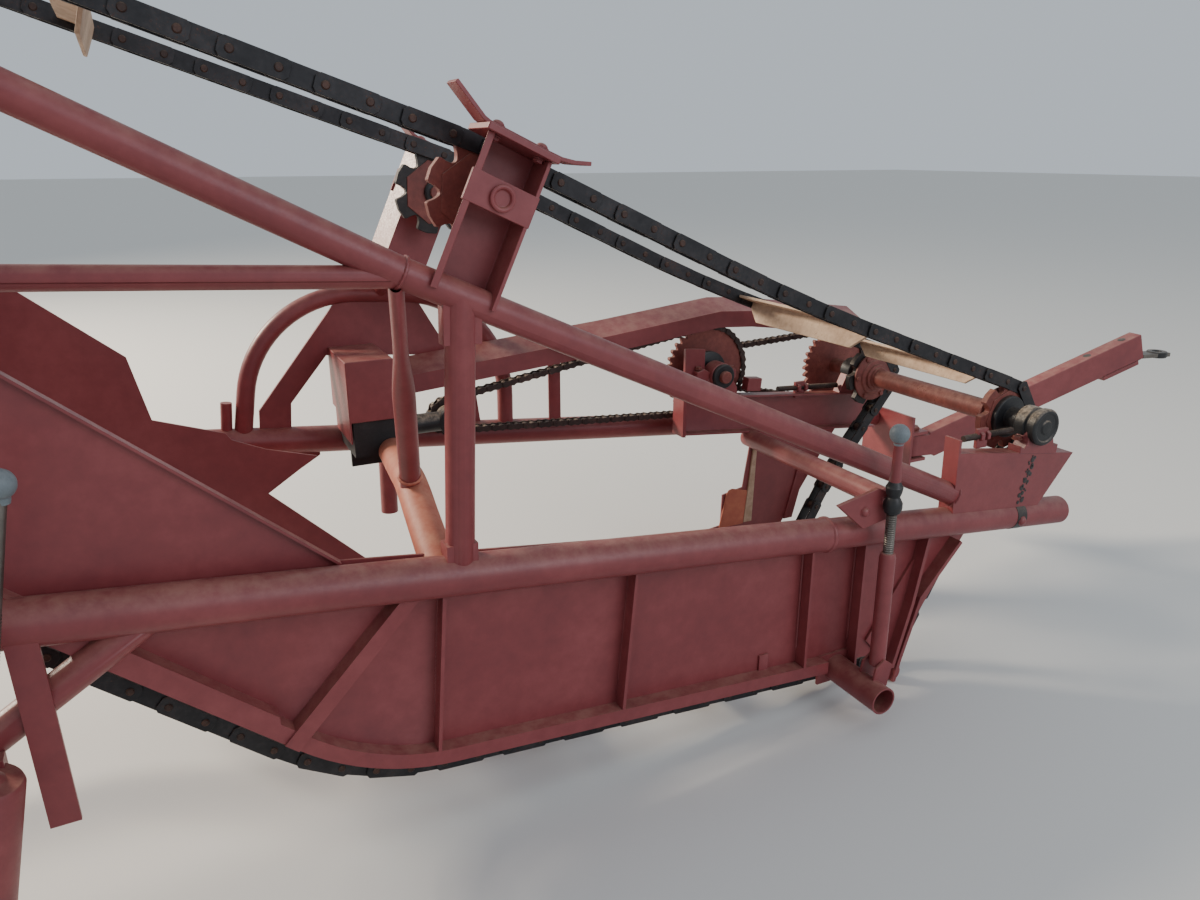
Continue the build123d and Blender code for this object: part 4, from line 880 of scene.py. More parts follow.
@dataclass
class Conveyor:
    """Two chains of flat link plates with the flights between them."""

    shop: Workshop
    plate_h: float = 36.5
    plate_over: float = 20.0
    plate_t: float = 5.5
    inner_y: float = 11.5
    pin_r: float = 8.0
    roller_r: float = 15.0
    flight_h: float = 58.0
    front_flight_h: float = 40.0
    flight_w: float = 62.0
    flight_t: float = 8.0
    flight_cut: float = 46.0
    flight_gap: float = 6 * CHAIN_PITCH

    def __post_init__(self) -> None:
        """Lay out the loop of each side, and the one between them that the flights follow."""
        self.loops = {side: chain_loop(IDLERS[side]) for side in Side}
        middle = np.mean(list(IDLERS.values()), axis=0)
        self.middle = chain_loop((float(middle[0]), float(middle[1])))

    def build(self) -> None:
        """Make both chains and the flights."""
        for side in Side:
            self.chain(side)
        self.flights()

    def chain(self, side: Side) -> None:
        """Make one chain: plates with square ends, outer and inner by turns, on pins with rollers.

        Args:
            side: Side of the machine.
        """
        y = side.value * CHAIN_Y
        links = self.loops[side].links(CHAIN_PITCH, y)
        points = self.loops[side].joints(CHAIN_PITCH)
        step = float(np.linalg.norm(points[1] - points[0]))
        outline = box_outline(step + 2 * self.plate_over, self.plate_h, 8.0)
        near = self.inner_y + self.plate_t + 0.5
        plates = []
        for first, low in ((0, near), (1, self.inner_y)):
            pair = prism(outline, low, low + self.plate_t) + prism(outline, -low - self.plate_t, -low)
            plates.append(pair.moved(links[first::2]))
        self.shop.put("conveyor_plates_" + side.word, plates, CHAIN_STEEL,
                      stands_for=["conveyor_chain_" + side.word], bevel_mm=1.0)
        places = np.stack([axes(LEFTWARD, FORWARD, (x, y, z)) for x, z in points])
        reach = near + self.plate_t + 3.0
        tip_r = self.pin_r - 2
        profile = [(tip_r, -reach), (self.pin_r, -reach + 2), (self.pin_r, reach - 2), (tip_r, reach)]
        pin = lathe(profile, np.eye(4), 12)
        half = self.inner_y - 0.5
        roller = lathe([(self.roller_r, -half), (self.roller_r, half)], np.eye(4), 12)
        self.shop.put("conveyor_pins_" + side.word, (pin + roller).moved(places), PIN_STEEL)

    def flights(self) -> None:
        """Make the flights: a blade with cut corners and a foot plate, between the two chains."""
        reach = CHAIN_Y - self.inner_y - 2 * self.plate_t - 1.0
        starts = [(3, 120.0), (5, 740.0), (6, 500.0), (0, 260.0)]
        table = [(k, first + n * self.flight_gap) for k, first in starts for n in (0, 1)]
        shells = []
        for k, s in table:
            points, angle = self.middle.place(np.array([self.middle.cum[2 * k] + s]))
            inward = -np.array((math.cos(angle[0]), 0.0, math.sin(angle[0])))
            run = np.array((-math.sin(angle[0]), 0.0, math.cos(angle[0])))
            place = np.eye(4)
            place[:3, 0], place[:3, 1], place[:3, 2] = LEFTWARD, inward, np.cross(LEFTWARD, inward)
            place[:3, 3] = (points[0, 0], 0.0, points[0, 1])
            half = self.flight_t / 2
            tall = self.front_flight_h if (k, s) == table[0] else self.flight_h
            top = reach - self.flight_cut
            blade = [(-reach, -8), (reach, -8), (reach, tall - 38), (top, tall), (-top, tall),
                     (-reach, tall - 38)]
            shells.append(prism(blade, -half, half, place))
            along = float(np.dot(place[:3, 2], run))
            foot = np.sort(np.array((half, self.flight_w)) * along)
            plate = [(-reach, -8), (reach, -8), (reach, 0), (-reach, 0)]
            shells.append(prism(plate, foot[0], foot[1], place))
        self.shop.put("flights_dressed", shells, FLIGHT_STEEL_AND_PAINTED_SUNLIGHT, stands_for=["flights"], bevel_mm=1.5)


@dataclass
class Shafts:
    """Front shaft, head shaft, idlers and countershaft with their wheels."""

    shop: Workshop
    loops: dict[Side, Loop]
    thick: float = 20.0

    def build(self) -> None:
        """Make every shaft."""
        self.front()
        self.head()
        self.idlers()
        self.countershaft()

    def phase(self, centre: Vec, side: Side) -> float:
        """Angle of the tooth after the joint that lies nearest to a sprocket's axis.

        Args:
            centre: Station x and z of the axis.
            side: Side of the machine.

        Returns:
            The angle of that joint about the axis, plus half a tooth.
        """
        arms = self.loops[side].joints(CHAIN_PITCH) - np.array(centre)
        arm = arms[np.argmin(np.linalg.norm(arms, axis=1))]
        return math.atan2(arm[1], arm[0]) + math.pi / TEETH

    def teeth_plate(self, centre: Vec, side: Side) -> Shell:
        """Sprocket plate with wide flat teeth and a round gap for each roller.

        Args:
            centre: Station x and z of its axis.
            side: Side of the machine.

        Returns:
            A plate between the pitch radius less 18 and plus 10.
        """
        flank = [(0.27, 1.0), (0.3, 0.85), (0.34, 0.4), (0.42, 0.08)]
        tooth = [(-0.5, 0.0)] + [(-a, h) for a, h in flank[::-1]] + [(0.0, 1.04)] + flank
        outline = gear_outline(WHEEL_R - 18.0, WHEEL_R + 10.0, TEETH, tooth, self.phase(centre, side))
        outline = outline + np.array(centre)
        y, half = side.value * CHAIN_Y, self.thick / 2
        return upright(outline, y - half, y + half)

    def face_plate(self, centre: Vec, side: Side) -> Shell:
        """Seven-sided plate on both faces of a sprocket, with its corners at the teeth.

        Args:
            centre: Station x and z of its axis.
            side: Side of the machine.

        Returns:
            A plate 3 mm proud of the sprocket on each face.
        """
        radius = WHEEL_R - 12.0
        outline = gear_outline(radius, radius, TEETH, [(0.0, 0.0)], self.phase(centre, side))
        outline = outline + np.array(centre)
        y, half = side.value * CHAIN_Y, self.thick / 2 + 3.0
        return upright(outline, y - half, y + half)

    def hub(self, centre: Vec, y: float, way: float) -> Shell:
        """Stepped hub with rings on one face of a sprocket.

        Args:
            centre: Station x and z of its axis.
            y: Plane of the sprocket.
            way: Sign of the face's direction along Y.

        Returns:
            Lathe work that narrows in steps away from the sprocket.
        """
        steps = [(83, 2), (83, 9), (62, 12), (58, 18), (46, 20), (45, 28), (37, 30), (35, 38)]
        profile = [(r, y + way * (self.thick / 2 + h)) for r, h in steps]
        return turned(*centre, profile if way > 0 else profile[::-1], 40)

    def front(self) -> None:
        """Make the front shaft with two conveyor sprockets, their hubs and the driven wheel."""
        x, z = FRONT
        bar = turned(x, z, [(23.0, -420.0), (25.0, -418.0), (25.0, 492.0), (23.0, 495.0)])
        sleeve = turned(x, z, [(31.0, -240.0), (31.0, 240.0)])
        shaft = [bar, sleeve] + [self.face_plate(FRONT, side) for side in Side]
        self.shop.put("front_shaft_dressed", shaft, SPROCKET_STEEL, stands_for=["front_shaft"], bevel_mm=1.5)
        hubs = [self.hub(FRONT, side.value * CHAIN_Y, -float(side.value)) for side in Side]
        self.shop.put("front_hubs", hubs, SPROCKET_STEEL, bevel_mm=1.0)
        self.toothed("front", {side: FRONT for side in Side})
        seal = turned(x, z, [(30, -352), (32, -349), (32, -308), (60, -306), (63, -302), (63, -290)])
        self.shop.put("near_bearing_seal", seal, OILED_IRON, bevel_mm=1.0)
        self.shop.put("driven_wheel", self.cog(FRONT, 32, SECOND_Y), SPROCKET_STEEL, bevel_mm=0.8)
        heads = [(x + 72 * c, CHAIN_Y - 19.0, z + 72 * s) for c, s in circle(6)]
        near = [(px, -py, pz) for px, py, pz in heads]
        bolts = fasteners(heads, RIGHTWARD, 9) + fasteners(near, LEFTWARD, 9)
        self.shop.put("hub_bolts", bolts, SPROCKET_STEEL)

    def cog(self, centre: Vec, teeth: int, y: float) -> Shell:
        """Roller chain wheel with low round teeth.

        Args:
            centre: Station x and z of its axis.
            teeth: Number of teeth.
            y: Its plane.

        Returns:
            A plate 15 mm thick, between the pitch radius less 7.5 and plus 8.
        """
        radius = DRIVE_PITCH / (2 * math.sin(math.pi / teeth))
        flank = [(0.15, 0.93), (0.27, 0.55), (0.38, 0.14)]
        tooth = [(-0.5, 0.0)] + [(-a, h) for a, h in flank[::-1]] + [(0.0, 1.0)] + flank
        outline = gear_outline(radius - 7.5, radius + 8.0, teeth, tooth) + np.array(centre)
        return upright(outline, y - 7.5, y + 7.5)

    def head(self) -> None:
        """Make the head shaft with its sprockets."""
        shells = [turned(*HEAD, [(23.0, -415.0), (25.0, -413.0), (25.0, 413.0), (23.0, 415.0)])]
        shells += [self.face_plate(HEAD, side) for side in Side]
        self.shop.put("head_shaft_dressed", shells, SPROCKET_STEEL, stands_for=["head_shaft"], bevel_mm=1.5)
        self.toothed("head", {side: HEAD for side in Side})

    def idlers(self) -> None:
        """Make the idler sprockets with their stub shafts and ringed hubs."""
        shells, rings = [], []
        for side in Side:
            y, centre = side.value * CHAIN_Y, IDLERS[side]
            shells.append(self.face_plate(centre, side))
            ring = [(12, -30), (14, -28), (16, -26), (26, -24), (30, -20), (30, 20), (26, 24)]
            rings.append(turned(*centre, [(r, y + h) for r, h in ring]))
            stub = sorted((side.value * (CHAIN_Y - 34), side.value * 342.0))
            shells.append(turned(*centre, [(18.0, stub[0]), (18.0, stub[1])]))
        self.shop.put("idler_sprockets_dressed", shells, SPROCKET_STEEL,
                      stands_for=["idler_sprockets"], bevel_mm=1.5)
        self.shop.put("idler_hubs", rings, OILED_IRON, bevel_mm=1.0)
        self.toothed("idler", IDLERS)

    def toothed(self, name: str, centres: dict[Side, Vec]) -> None:
        """Make a pair of toothed plates, oiled black on the left and worn red on the right."""
        for side, finish in ((Side.RIGHT, SPROCKET_STEEL), (Side.LEFT, TOOTH_STEEL)):
            plate = self.teeth_plate(centres[side], side)
            self.shop.put(name + "_teeth_" + side.word, plate, finish, bevel_mm=1.5)

    def countershaft(self) -> None:
        """Make the countershaft: a stub with a red end, the large wheel with its boss, and the small one."""
        shaft = turned(*COUNTER, [(18, 306), (20, 308), (20, 320), (22, 322), (22, 488), (20, 490)])
        boss = turned(*COUNTER, [(60, 410), (66, 413), (66, 445), (60, 449)])
        shells = [shaft, self.cog(COUNTER, 36, DRIVE_Y), self.cog(COUNTER, 13, SECOND_Y)]
        self.shop.put("countershaft_boss", boss, OILED_IRON, bevel_mm=1.0)
        self.shop.put("countershaft_dressed", shells, SPROCKET_STEEL,
                      stands_for=["countershaft"], bevel_mm=0.8)


@dataclass
class RollerDrive:
    """Two roller chains of the drive, the countershaft's bearing and the take-up screws."""

    shop: Workshop
    roller_r: float = 8.0
    plate_t: float = 3.0

    def build(self) -> None:
        """Make both chains, the countershaft's bearing and the take-up screws."""
        radius = {teeth: DRIVE_PITCH / (2 * math.sin(math.pi / teeth)) for teeth in (11, 13, 32, 36)}
        first = Loop([(*GEARBOX, radius[11]), (*COUNTER, radius[36])])
        second = Loop([(*COUNTER, radius[13]), (*FRONT, radius[32])])
        chains = [self.chain(first, DRIVE_Y), self.chain(second, SECOND_Y)]
        self.shop.put("drive_chains_dressed", chains, DRIVE_STEEL, stands_for=["drive_chains"])
        self.bearing()
        self.take_up()

    def chain(self, loop: Loop, y: float) -> Shell:
        """One roller chain: waisted plates outside and inside by turns, with rollers.

        Args:
            loop: Its loop.
            y: Its plane.

        Returns:
            Plates 20 mm high that narrow to 14 mm in the middle, each with a few dozen faces.
        """
        links = loop.links(DRIVE_PITCH, y)
        end, waist, half = 10.0, 7.0, DRIVE_PITCH / 2
        angle = np.linspace(-math.pi / 2, math.pi / 2, 5)
        right = np.c_[half + end * np.cos(angle) * 0.9, end * np.sin(angle)]
        outline = np.vstack([[(0, -waist)], right, [(0, waist)], -right])
        shells = []
        for start, low in ((0, 12.0), (1, 8.5)):
            pair = prism(outline, low, low + self.plate_t) + prism(outline, -low - self.plate_t, -low)
            shells.append(pair.moved(links[start::2]))
        joints = links.copy()
        joints[:, :3, 3] += half * joints[:, :3, 0]
        roller = lathe([(self.roller_r, -8.0), (self.roller_r, 8.0)], np.eye(4), 10)
        pin = lathe([(4.0, -15.5), (4.0, 15.5)], np.eye(4), 8)
        return joined(shells + [(roller + pin).moved(joints)])

    def bearing(self) -> None:
        """Make the countershaft's split bearing on the channel beam, with its clamp bolts."""
        x, z = COUNTER
        foot = beam_z(x) + 65.5
        block = [(-70, foot), (70, foot - 14), (68, foot + 22), (42, z - 6), (-42, z - 6), (-68, foot + 34)]
        rear_lug = [(-88, z - 14), (-40, z - 20), (-40, z + 14), (-60, z + 26), (-88, z + 18)]
        front_lug = [(40, z - 16), (62, z - 16), (62, z + 14), (40, z + 18)]
        shells = [turned(x, z, [(36, 331), (42, 334), (42, 386), (36, 391)])]
        for outline, y0, y1 in ((block, 343, 381), (rear_lug, 346, 378), (front_lug, 346, 378)):
            shells.append(upright([(x + px, pz) for px, pz in outline], y0, y1))
        shells.append(strut((x + 112, 362, foot + 24), (x + 168, 362, foot + 18), 34, 44))
        self.shop.put("counter_bearing_dressed", shells, FADED_RED,
                      stands_for=["counter_bearing"], bevel_mm=2.5)
        ring = turned(x, z, [(20.5, 320), (36, 320), (40, 323), (40, 333)])
        self.shop.put("counter_bearing_ring", ring, OILED_IRON, bevel_mm=1.0)
        clamps = [(x - 74, 362, z + 24), (x - 74, 362, z - 20), (x + 51, 362, z + 16)]
        bolts = fasteners(clamps, UP, 11) + fasteners([(x - 64, 345, foot + 30)], RIGHTWARD, 10)
        self.shop.put("counter_bearing_bolts", bolts, SPROCKET_STEEL)

    def take_up(self) -> None:
        """Make the take-up screws of the two front bearings: threaded rods with nuts and a tab."""
        rods, nuts = [], []
        tables = ((1890.0, 2150.0, 362.0, beam_z(2020) + 93.0, -0.06), (1960.0, 2150.0, -372.0, 722.0, 0.0))
        for x0, x1, y, z, slope in tables:
            count = int((x1 - x0) / 2.0)
            xs = np.linspace(x0, x1, count)
            path = np.c_[xs, np.full(count, y), z + slope * (xs - x0)]
            rods.append(hose(path, 9.0 + 0.9 * np.sin(TAU * xs / 4.0), 10))
            for share in (0.3, 0.42):
                place = axes(FORWARD, UP, path[int(share * count)])
                nuts.append(lathe([(15, 0), (17, 2), (17, 12), (15, 14)], place, 6))
            middle = path[int(0.36 * count)]
            nuts.append(strut(middle + (0, 0, -34), middle + (0, 0, 22), 12, 40, FORWARD))
        self.shop.put("take_up_screws", rods, DRIVE_STEEL)
        self.shop.put("take_up_nuts", nuts, FADED_RED, bevel_mm=1.5)


@dataclass
class FrontBearings:
    """Pillow blocks of the front shaft, with the grease thrown out of the near one."""

    shop: Workshop

    def build(self) -> None:
        """Make both bearings, their feet and bolts, and the grease."""
        x, z = FRONT
        profile = [(46, -32), (51, -28), (51, 4), (44, 8), (44, 16), (53, 20), (54, 38), (49, 43), (42, 44),
                   (40, 40), (22, 40), (18, 44), (0, 45)]
        near = turned(x, z, [(r, -TUBE_Y - 4 - h) for r, h in profile[::-1]], 40)
        far = turned(x, z, [(38, 337), (44, 341), (44, 383), (38, 387)], 40)
        foot = beam_z(x) + 65.5
        far_foot = [(x - 74, foot + 6), (x + 74, foot - 8), (x + 40, z), (x - 40, z)]
        near_foot = [(x - 72, 661), (x + 84, 638), (x + 88, 668), (x + 70, 664), (x + 62, 690),
                     (x + 46, z - 4), (x - 40, z - 4), (x - 46, 690), (x - 56, 672), (x - 72, 684)]
        feet = upright(far_foot, 344, 380) + upright(near_foot, -TUBE_Y - 28, -TUBE_Y + 16)
        self.shop.put("near_front_bearing", near, BEARING_IRON, stands_for=["front_bearings"], bevel_mm=2.5)
        self.shop.put("far_front_bearing", far, OILED_IRON, bevel_mm=2.5)
        self.shop.put("front_bearing_feet", feet, FADED_RED, stands_for=["front_bearings"], bevel_mm=2.5)
        self.grease()
        heads = [(x - 58, -TUBE_Y, 696), (x + 58, -TUBE_Y, 682)]
        self.shop.put("front_bearing_bolts", fasteners(heads, UP, 13), SPROCKET_STEEL)

    def grease(self) -> None:
        """Lay the thrown grease on the box's face, and the dark band with its bolt on the tube below."""
        spots = []
        for i in range(26):
            share = i / 25
            reach = 3.5 + 5.5 * math.sin(2.3 * i) ** 4
            centre = (2210.0 - 26.0 * share + 11.0 * math.sin(7.7 * i), -409.0, 645.0 - 136.0 * share)
            place = axes(RIGHTWARD, FORWARD, centre)
            spots.append(lathe([(reach, 0.0), (reach * 0.7, 0.5), (0.0, 0.5)], place, 9))
        self.shop.put("grease_spots", spots, GREASE)
        rear, front = on_tube(2168.0), on_tube(2206.0)
        self.shop.put("tube_band", hose(np.array([rear, 0.5 * (rear + front), front]), 42.3, 40), GREASE)
        bolt = fasteners([(2188.0, -TUBE_Y - 40.0, 454.0)], RIGHTWARD, 13, Head.DOME)
        self.shop.put("tube_band_bolt", bolt, FADED_RED)


@dataclass
class IdlerPosts:
    """Channel posts that carry the idlers, with cap plates, a bent shoe strip, a band and a ringed boss."""

    shop: Workshop
    width: float = 136.0
    depth: float = 80.0
    height: float = 296.0
    wall: float = 8.0
    axle_up: float = 197.0

    def place(self, side: Side) -> np.ndarray:
        """Transform of a post: local x down the rail, y along Y and z away from the rail."""
        run, up = rail_frame()
        x, z = IDLERS[side]
        out = np.eye(4)
        out[:3, 0], out[:3, 1], out[:3, 2] = run, LEFTWARD, up
        out[:3, 3] = np.array((x, side.value * TUBE_Y, z)) - up * self.axle_up
        return out

    def build(self) -> None:
        """Make both posts and their bolts."""
        shells, bolts = [], []
        for side in Side:
            place, s = self.place(side), float(side.value)
            shells += [piece.moved(place) for piece in self.pieces(s)]
            rows = ((12.0, self.height + 20.0, 1, 12, Head.DOME),
                    (18.0, self.height - 1.0, -1, 11, Head.HEXAGON))
            for y, up, way, size, head in rows:
                spots = np.array([(x, s * y, up) for x in (-46.0, 48.0)]) @ place[:3, :3].T + place[:3, 3]
                bolts.append(fasteners(spots, way * place[:3, 2], size, head))
        self.shop.put("idler_posts_dressed", shells, FADED_RED, stands_for=["idler_posts"], bevel_mm=2.0)
        self.shop.put("idler_post_bolts", bolts, FADED_RED)

    def pieces(self, s: float) -> list[Shell]:
        """Parts of one post in its own frame.

        Args:
            s: Sign of y on its side.

        Returns:
            The channel with one flange leaning in, the cap, the band, the boss and the shoe strip.
        """
        w, d, h, t, lean = self.width / 2, self.depth / 2, self.height, self.wall, 26
        channel = np.array([
            (-w + lean, -s * d), (w, -s * d), (w, s * d), (w - t, s * d), (w - t, -s * (d - t)),
            (-w + lean + t, -s * (d - t)), (-w + 14, s * d), (-w, s * d)])
        post = prism(channel if s > 0 else channel[::-1], 0, h)
        cap = prism(box_outline(152, 110, 2), h, h + 12)
        band = prism(box_outline(140, 10), self.axle_up - 30, self.axle_up + 30)
        band = band.moved(axes(UP, FORWARD, (0, s * 36, 0)))
        ring = [(21, 0), (25, 3), (25, 9), (21, 11), (17, 9), (15, 3)]
        boss = lathe(ring, axes((0, s, 0), FORWARD, (0, s * 40, self.axle_up)), 32)
        return [post, cap, band, boss, self.strip()]

    def strip(self) -> Shell:
        """Shoe strip on the cap: bent up behind, flat over the cap and turned up a little in front.

        Returns:
            A strip 8 mm thick and 52 mm wide along the curve of local x and z points.
        """
        line = np.array([
            (-150, 46), (-130, 36), (-108, 25), (-92, 17), (-80, 11), (-66, 8), (0, 8), (60, 8), (90, 9),
            (118, 15), (150, 27)], dtype=float)
        run = unit(np.gradient(line, axis=0))
        low = line + (0, self.height + 4)
        ring = np.vstack([low, (low + 8 * np.c_[-run[:, 1], run[:, 0]])[::-1]])
        turn = np.eye(4)
        turn[:3, 1], turn[:3, 2] = UP, RIGHTWARD
        return prism(ring, -26, 26).moved(turn)


@dataclass
class Jacks:
    """Crank jacks: the slim one at the front, and the wide one at the rear brace."""

    shop: Workshop
    y: float = -470.0

    def build(self) -> None:
        """Make both jacks."""
        self.front()
        self.rear()

    def front(self) -> None:
        """Front jack: leg, lever, threaded screw, universal joint and ball along one leaning axis."""
        foot, top = np.array((1626.0, self.y, 160.0)), np.array((1618.0, self.y, 812.0))
        place = axes(top - foot, FORWARD, foot)
        leg = [(18, 0), (21.2, 4), (21.2, 318), (20, 322), (18, 330), (14, 332)]
        lever = [(13, 520), (15, 530), (12, 560), (12, 625), (14, 632)]
        screw_z = np.arange(330.0, 440.0, 2.0)
        screw = np.c_[13.0 + 1.0 * np.sin(TAU * screw_z / 6.0), screw_z]
        joint = [(12, 438), (20, 444), (24, 455), (24, 470), (16, 486), (20, 498), (22, 512), (14, 528)]
        self.shop.put("front_jack_leg", lathe(leg, place), FADED_RED, stands_for=["front_jack"], bevel_mm=0.8)
        self.shop.put("front_jack_lever", lathe(lever, place), FADED_RED)
        self.shop.put("front_jack_screw", lathe(screw, place, 16), BARE_STEEL)
        self.shop.put("front_jack_joint", lathe(joint, place), OILED_IRON)
        self.ball("front_jack_ball", top)

    def ball(self, name: str, centre: Vec) -> None:
        """Make a ball knob of 50 mm with a short collar.

        Args:
            name: Name of the piece.
            centre: Middle of the ball.
        """
        angle = np.linspace(-math.pi / 2, math.pi / 2, 17)
        profile = np.c_[25.0 * np.cos(angle), 25.0 * np.sin(angle)]
        profile[0, 0] = profile[-1, 0] = 0.0
        place = axes(UP, FORWARD, centre)
        collar = lathe([(11, -32), (13, -24), (13, -20)], place)
        self.shop.put(name, lathe(profile, place, 32) + collar, GREY_PLASTIC)

    def rear(self) -> None:
        """Rear jack: wide leg with an open foot, a screw and the ball."""
        spots = ((-425.0, 140.0), (-345.0, 490.0), (-236.0, 992.0))
        foot, neck, top = (np.array((x, self.y, z)) for x, z in spots)
        length = math.dist(foot, neck)
        profile = [(54, 0), (60, 3), (60, length - 8), (56, length), (30, length + 2), (20, length + 12)]
        leg = lathe(profile, axes(neck - foot, FORWARD, foot), 40)
        clamp = strut((-355, -420, 430), (-355, -420, 500), 36, 70, FORWARD)
        self.shop.put("rear_jack_leg", leg + clamp, FADED_RED, stands_for=["rear_jack"], bevel_mm=1.5)
        run = top - neck
        distance = np.arange(0.0, float(np.linalg.norm(run)) - 24.0, 2.0)
        thread = np.where(distance < 300.0, 1.0 * np.sin(TAU * distance / 6.0), 0.0)
        screw = lathe(np.c_[13.0 + thread, distance], axes(run, FORWARD, neck), 16)
        self.shop.put("rear_jack_screw", screw, BARE_STEEL)
        self.ball("rear_jack_ball", top)


@dataclass
class Trough:
    """Walls of the trough and the elevator with their seams."""

    shop: Workshop

    def build(self) -> None:
        """Round the walls' edges, and lay the weld seams along the tube and both sides of each rib."""
        for node in ("side_plate_right", "side_plate_left", "front_shoes", "stub_tube"):
            self.shop.eased(node, 1.5)
        seams = []
        for x0, x1 in ((180.0, 470.0), (490.0, 920.0), (960.0, 1440.0), (1480.0, 1620.0), (1660.0, 2060.0)):
            rear, front = ((x, -OUT - 6, tube_z(x, Side.RIGHT) - 37) for x in (x0, x1))
            seams.append(weld(rear, front, 4.5))
        for x, lean in ((477.0, 4.7), (938.0, 5.2), (1457.0, 0.0), (1638.0, 0.0)):
            back = 300 * math.tan(math.radians(lean))
            top = tube_z(x, Side.RIGHT) - 44
            for edge in (-6.0, 6.0):
                low = (x + edge - back, -OUT - 2, top - 300)
                seams.append(weld((x + edge, -OUT - 2, top), low, 3.0))
        self.shop.put("trough_welds", seams, FADED_RED)
        self.front_edge()

    def front_edge(self) -> None:
        """Make the flange painted pale tan as sunlit, the rib and the round-cornered tab at the front edge of
        the left wall.
        """
        edge = np.array([(1788.0, 546.0), (1758.0, 250.0)])
        line = np.linspace(0, 1, 12)[:, None] * (edge[1] - edge[0]) + edge[0]
        width = np.linspace(6.0, 28.0, 12)[:, None]
        outline = np.vstack([line - (6.0, 0.0), (line + np.c_[width, 0 * width])[::-1]])
        inside = OUT - 6
        # Pale tan painted sunlight on the flange: a strip that widens downwards like the lit face.
        self.shop.put("left_front_flange", upright(outline, inside - 7, inside), FLIGHT_STEEL_AND_PAINTED_SUNLIGHT, bevel_mm=1.0)
        rib = [(1975, 412), (2011, 412), (1964, 230), (1928, 230)]
        self.shop.put("left_front_rib", upright(rib, inside - 7, inside), FADED_RED, bevel_mm=1.0)
        tab = [(1652, 245), (1752, 245), (1764, 366), (1700, 382), (1686, 378), (1676, 362)]
        self.shop.put("left_front_tab", upright(tab, inside - 5, inside), RUST_ORANGE, bevel_mm=1.5)


# Nodes of the frame that keep their shape, with the width of their rounded edges
FRAME_EDGES = {
    "bearing_box": 2.5, "channel_beam": 2.5, "guard_box": 2.5, "gearbox": 3.0, "chain_guard": 1.2,
    "drawbar_bracket": 2.0, "chassis_rails": 3.0, "ram_yoke": 2.5, "axle": 4.0, "rear_braces": 1.5,
    "front_brace": 1.5, "upper_frame_right": 1.5, "upper_frame_left": 1.5, "main_tube_right": 1.2,
    "main_tube_left": 1.2, "head_bearings": 2.0}


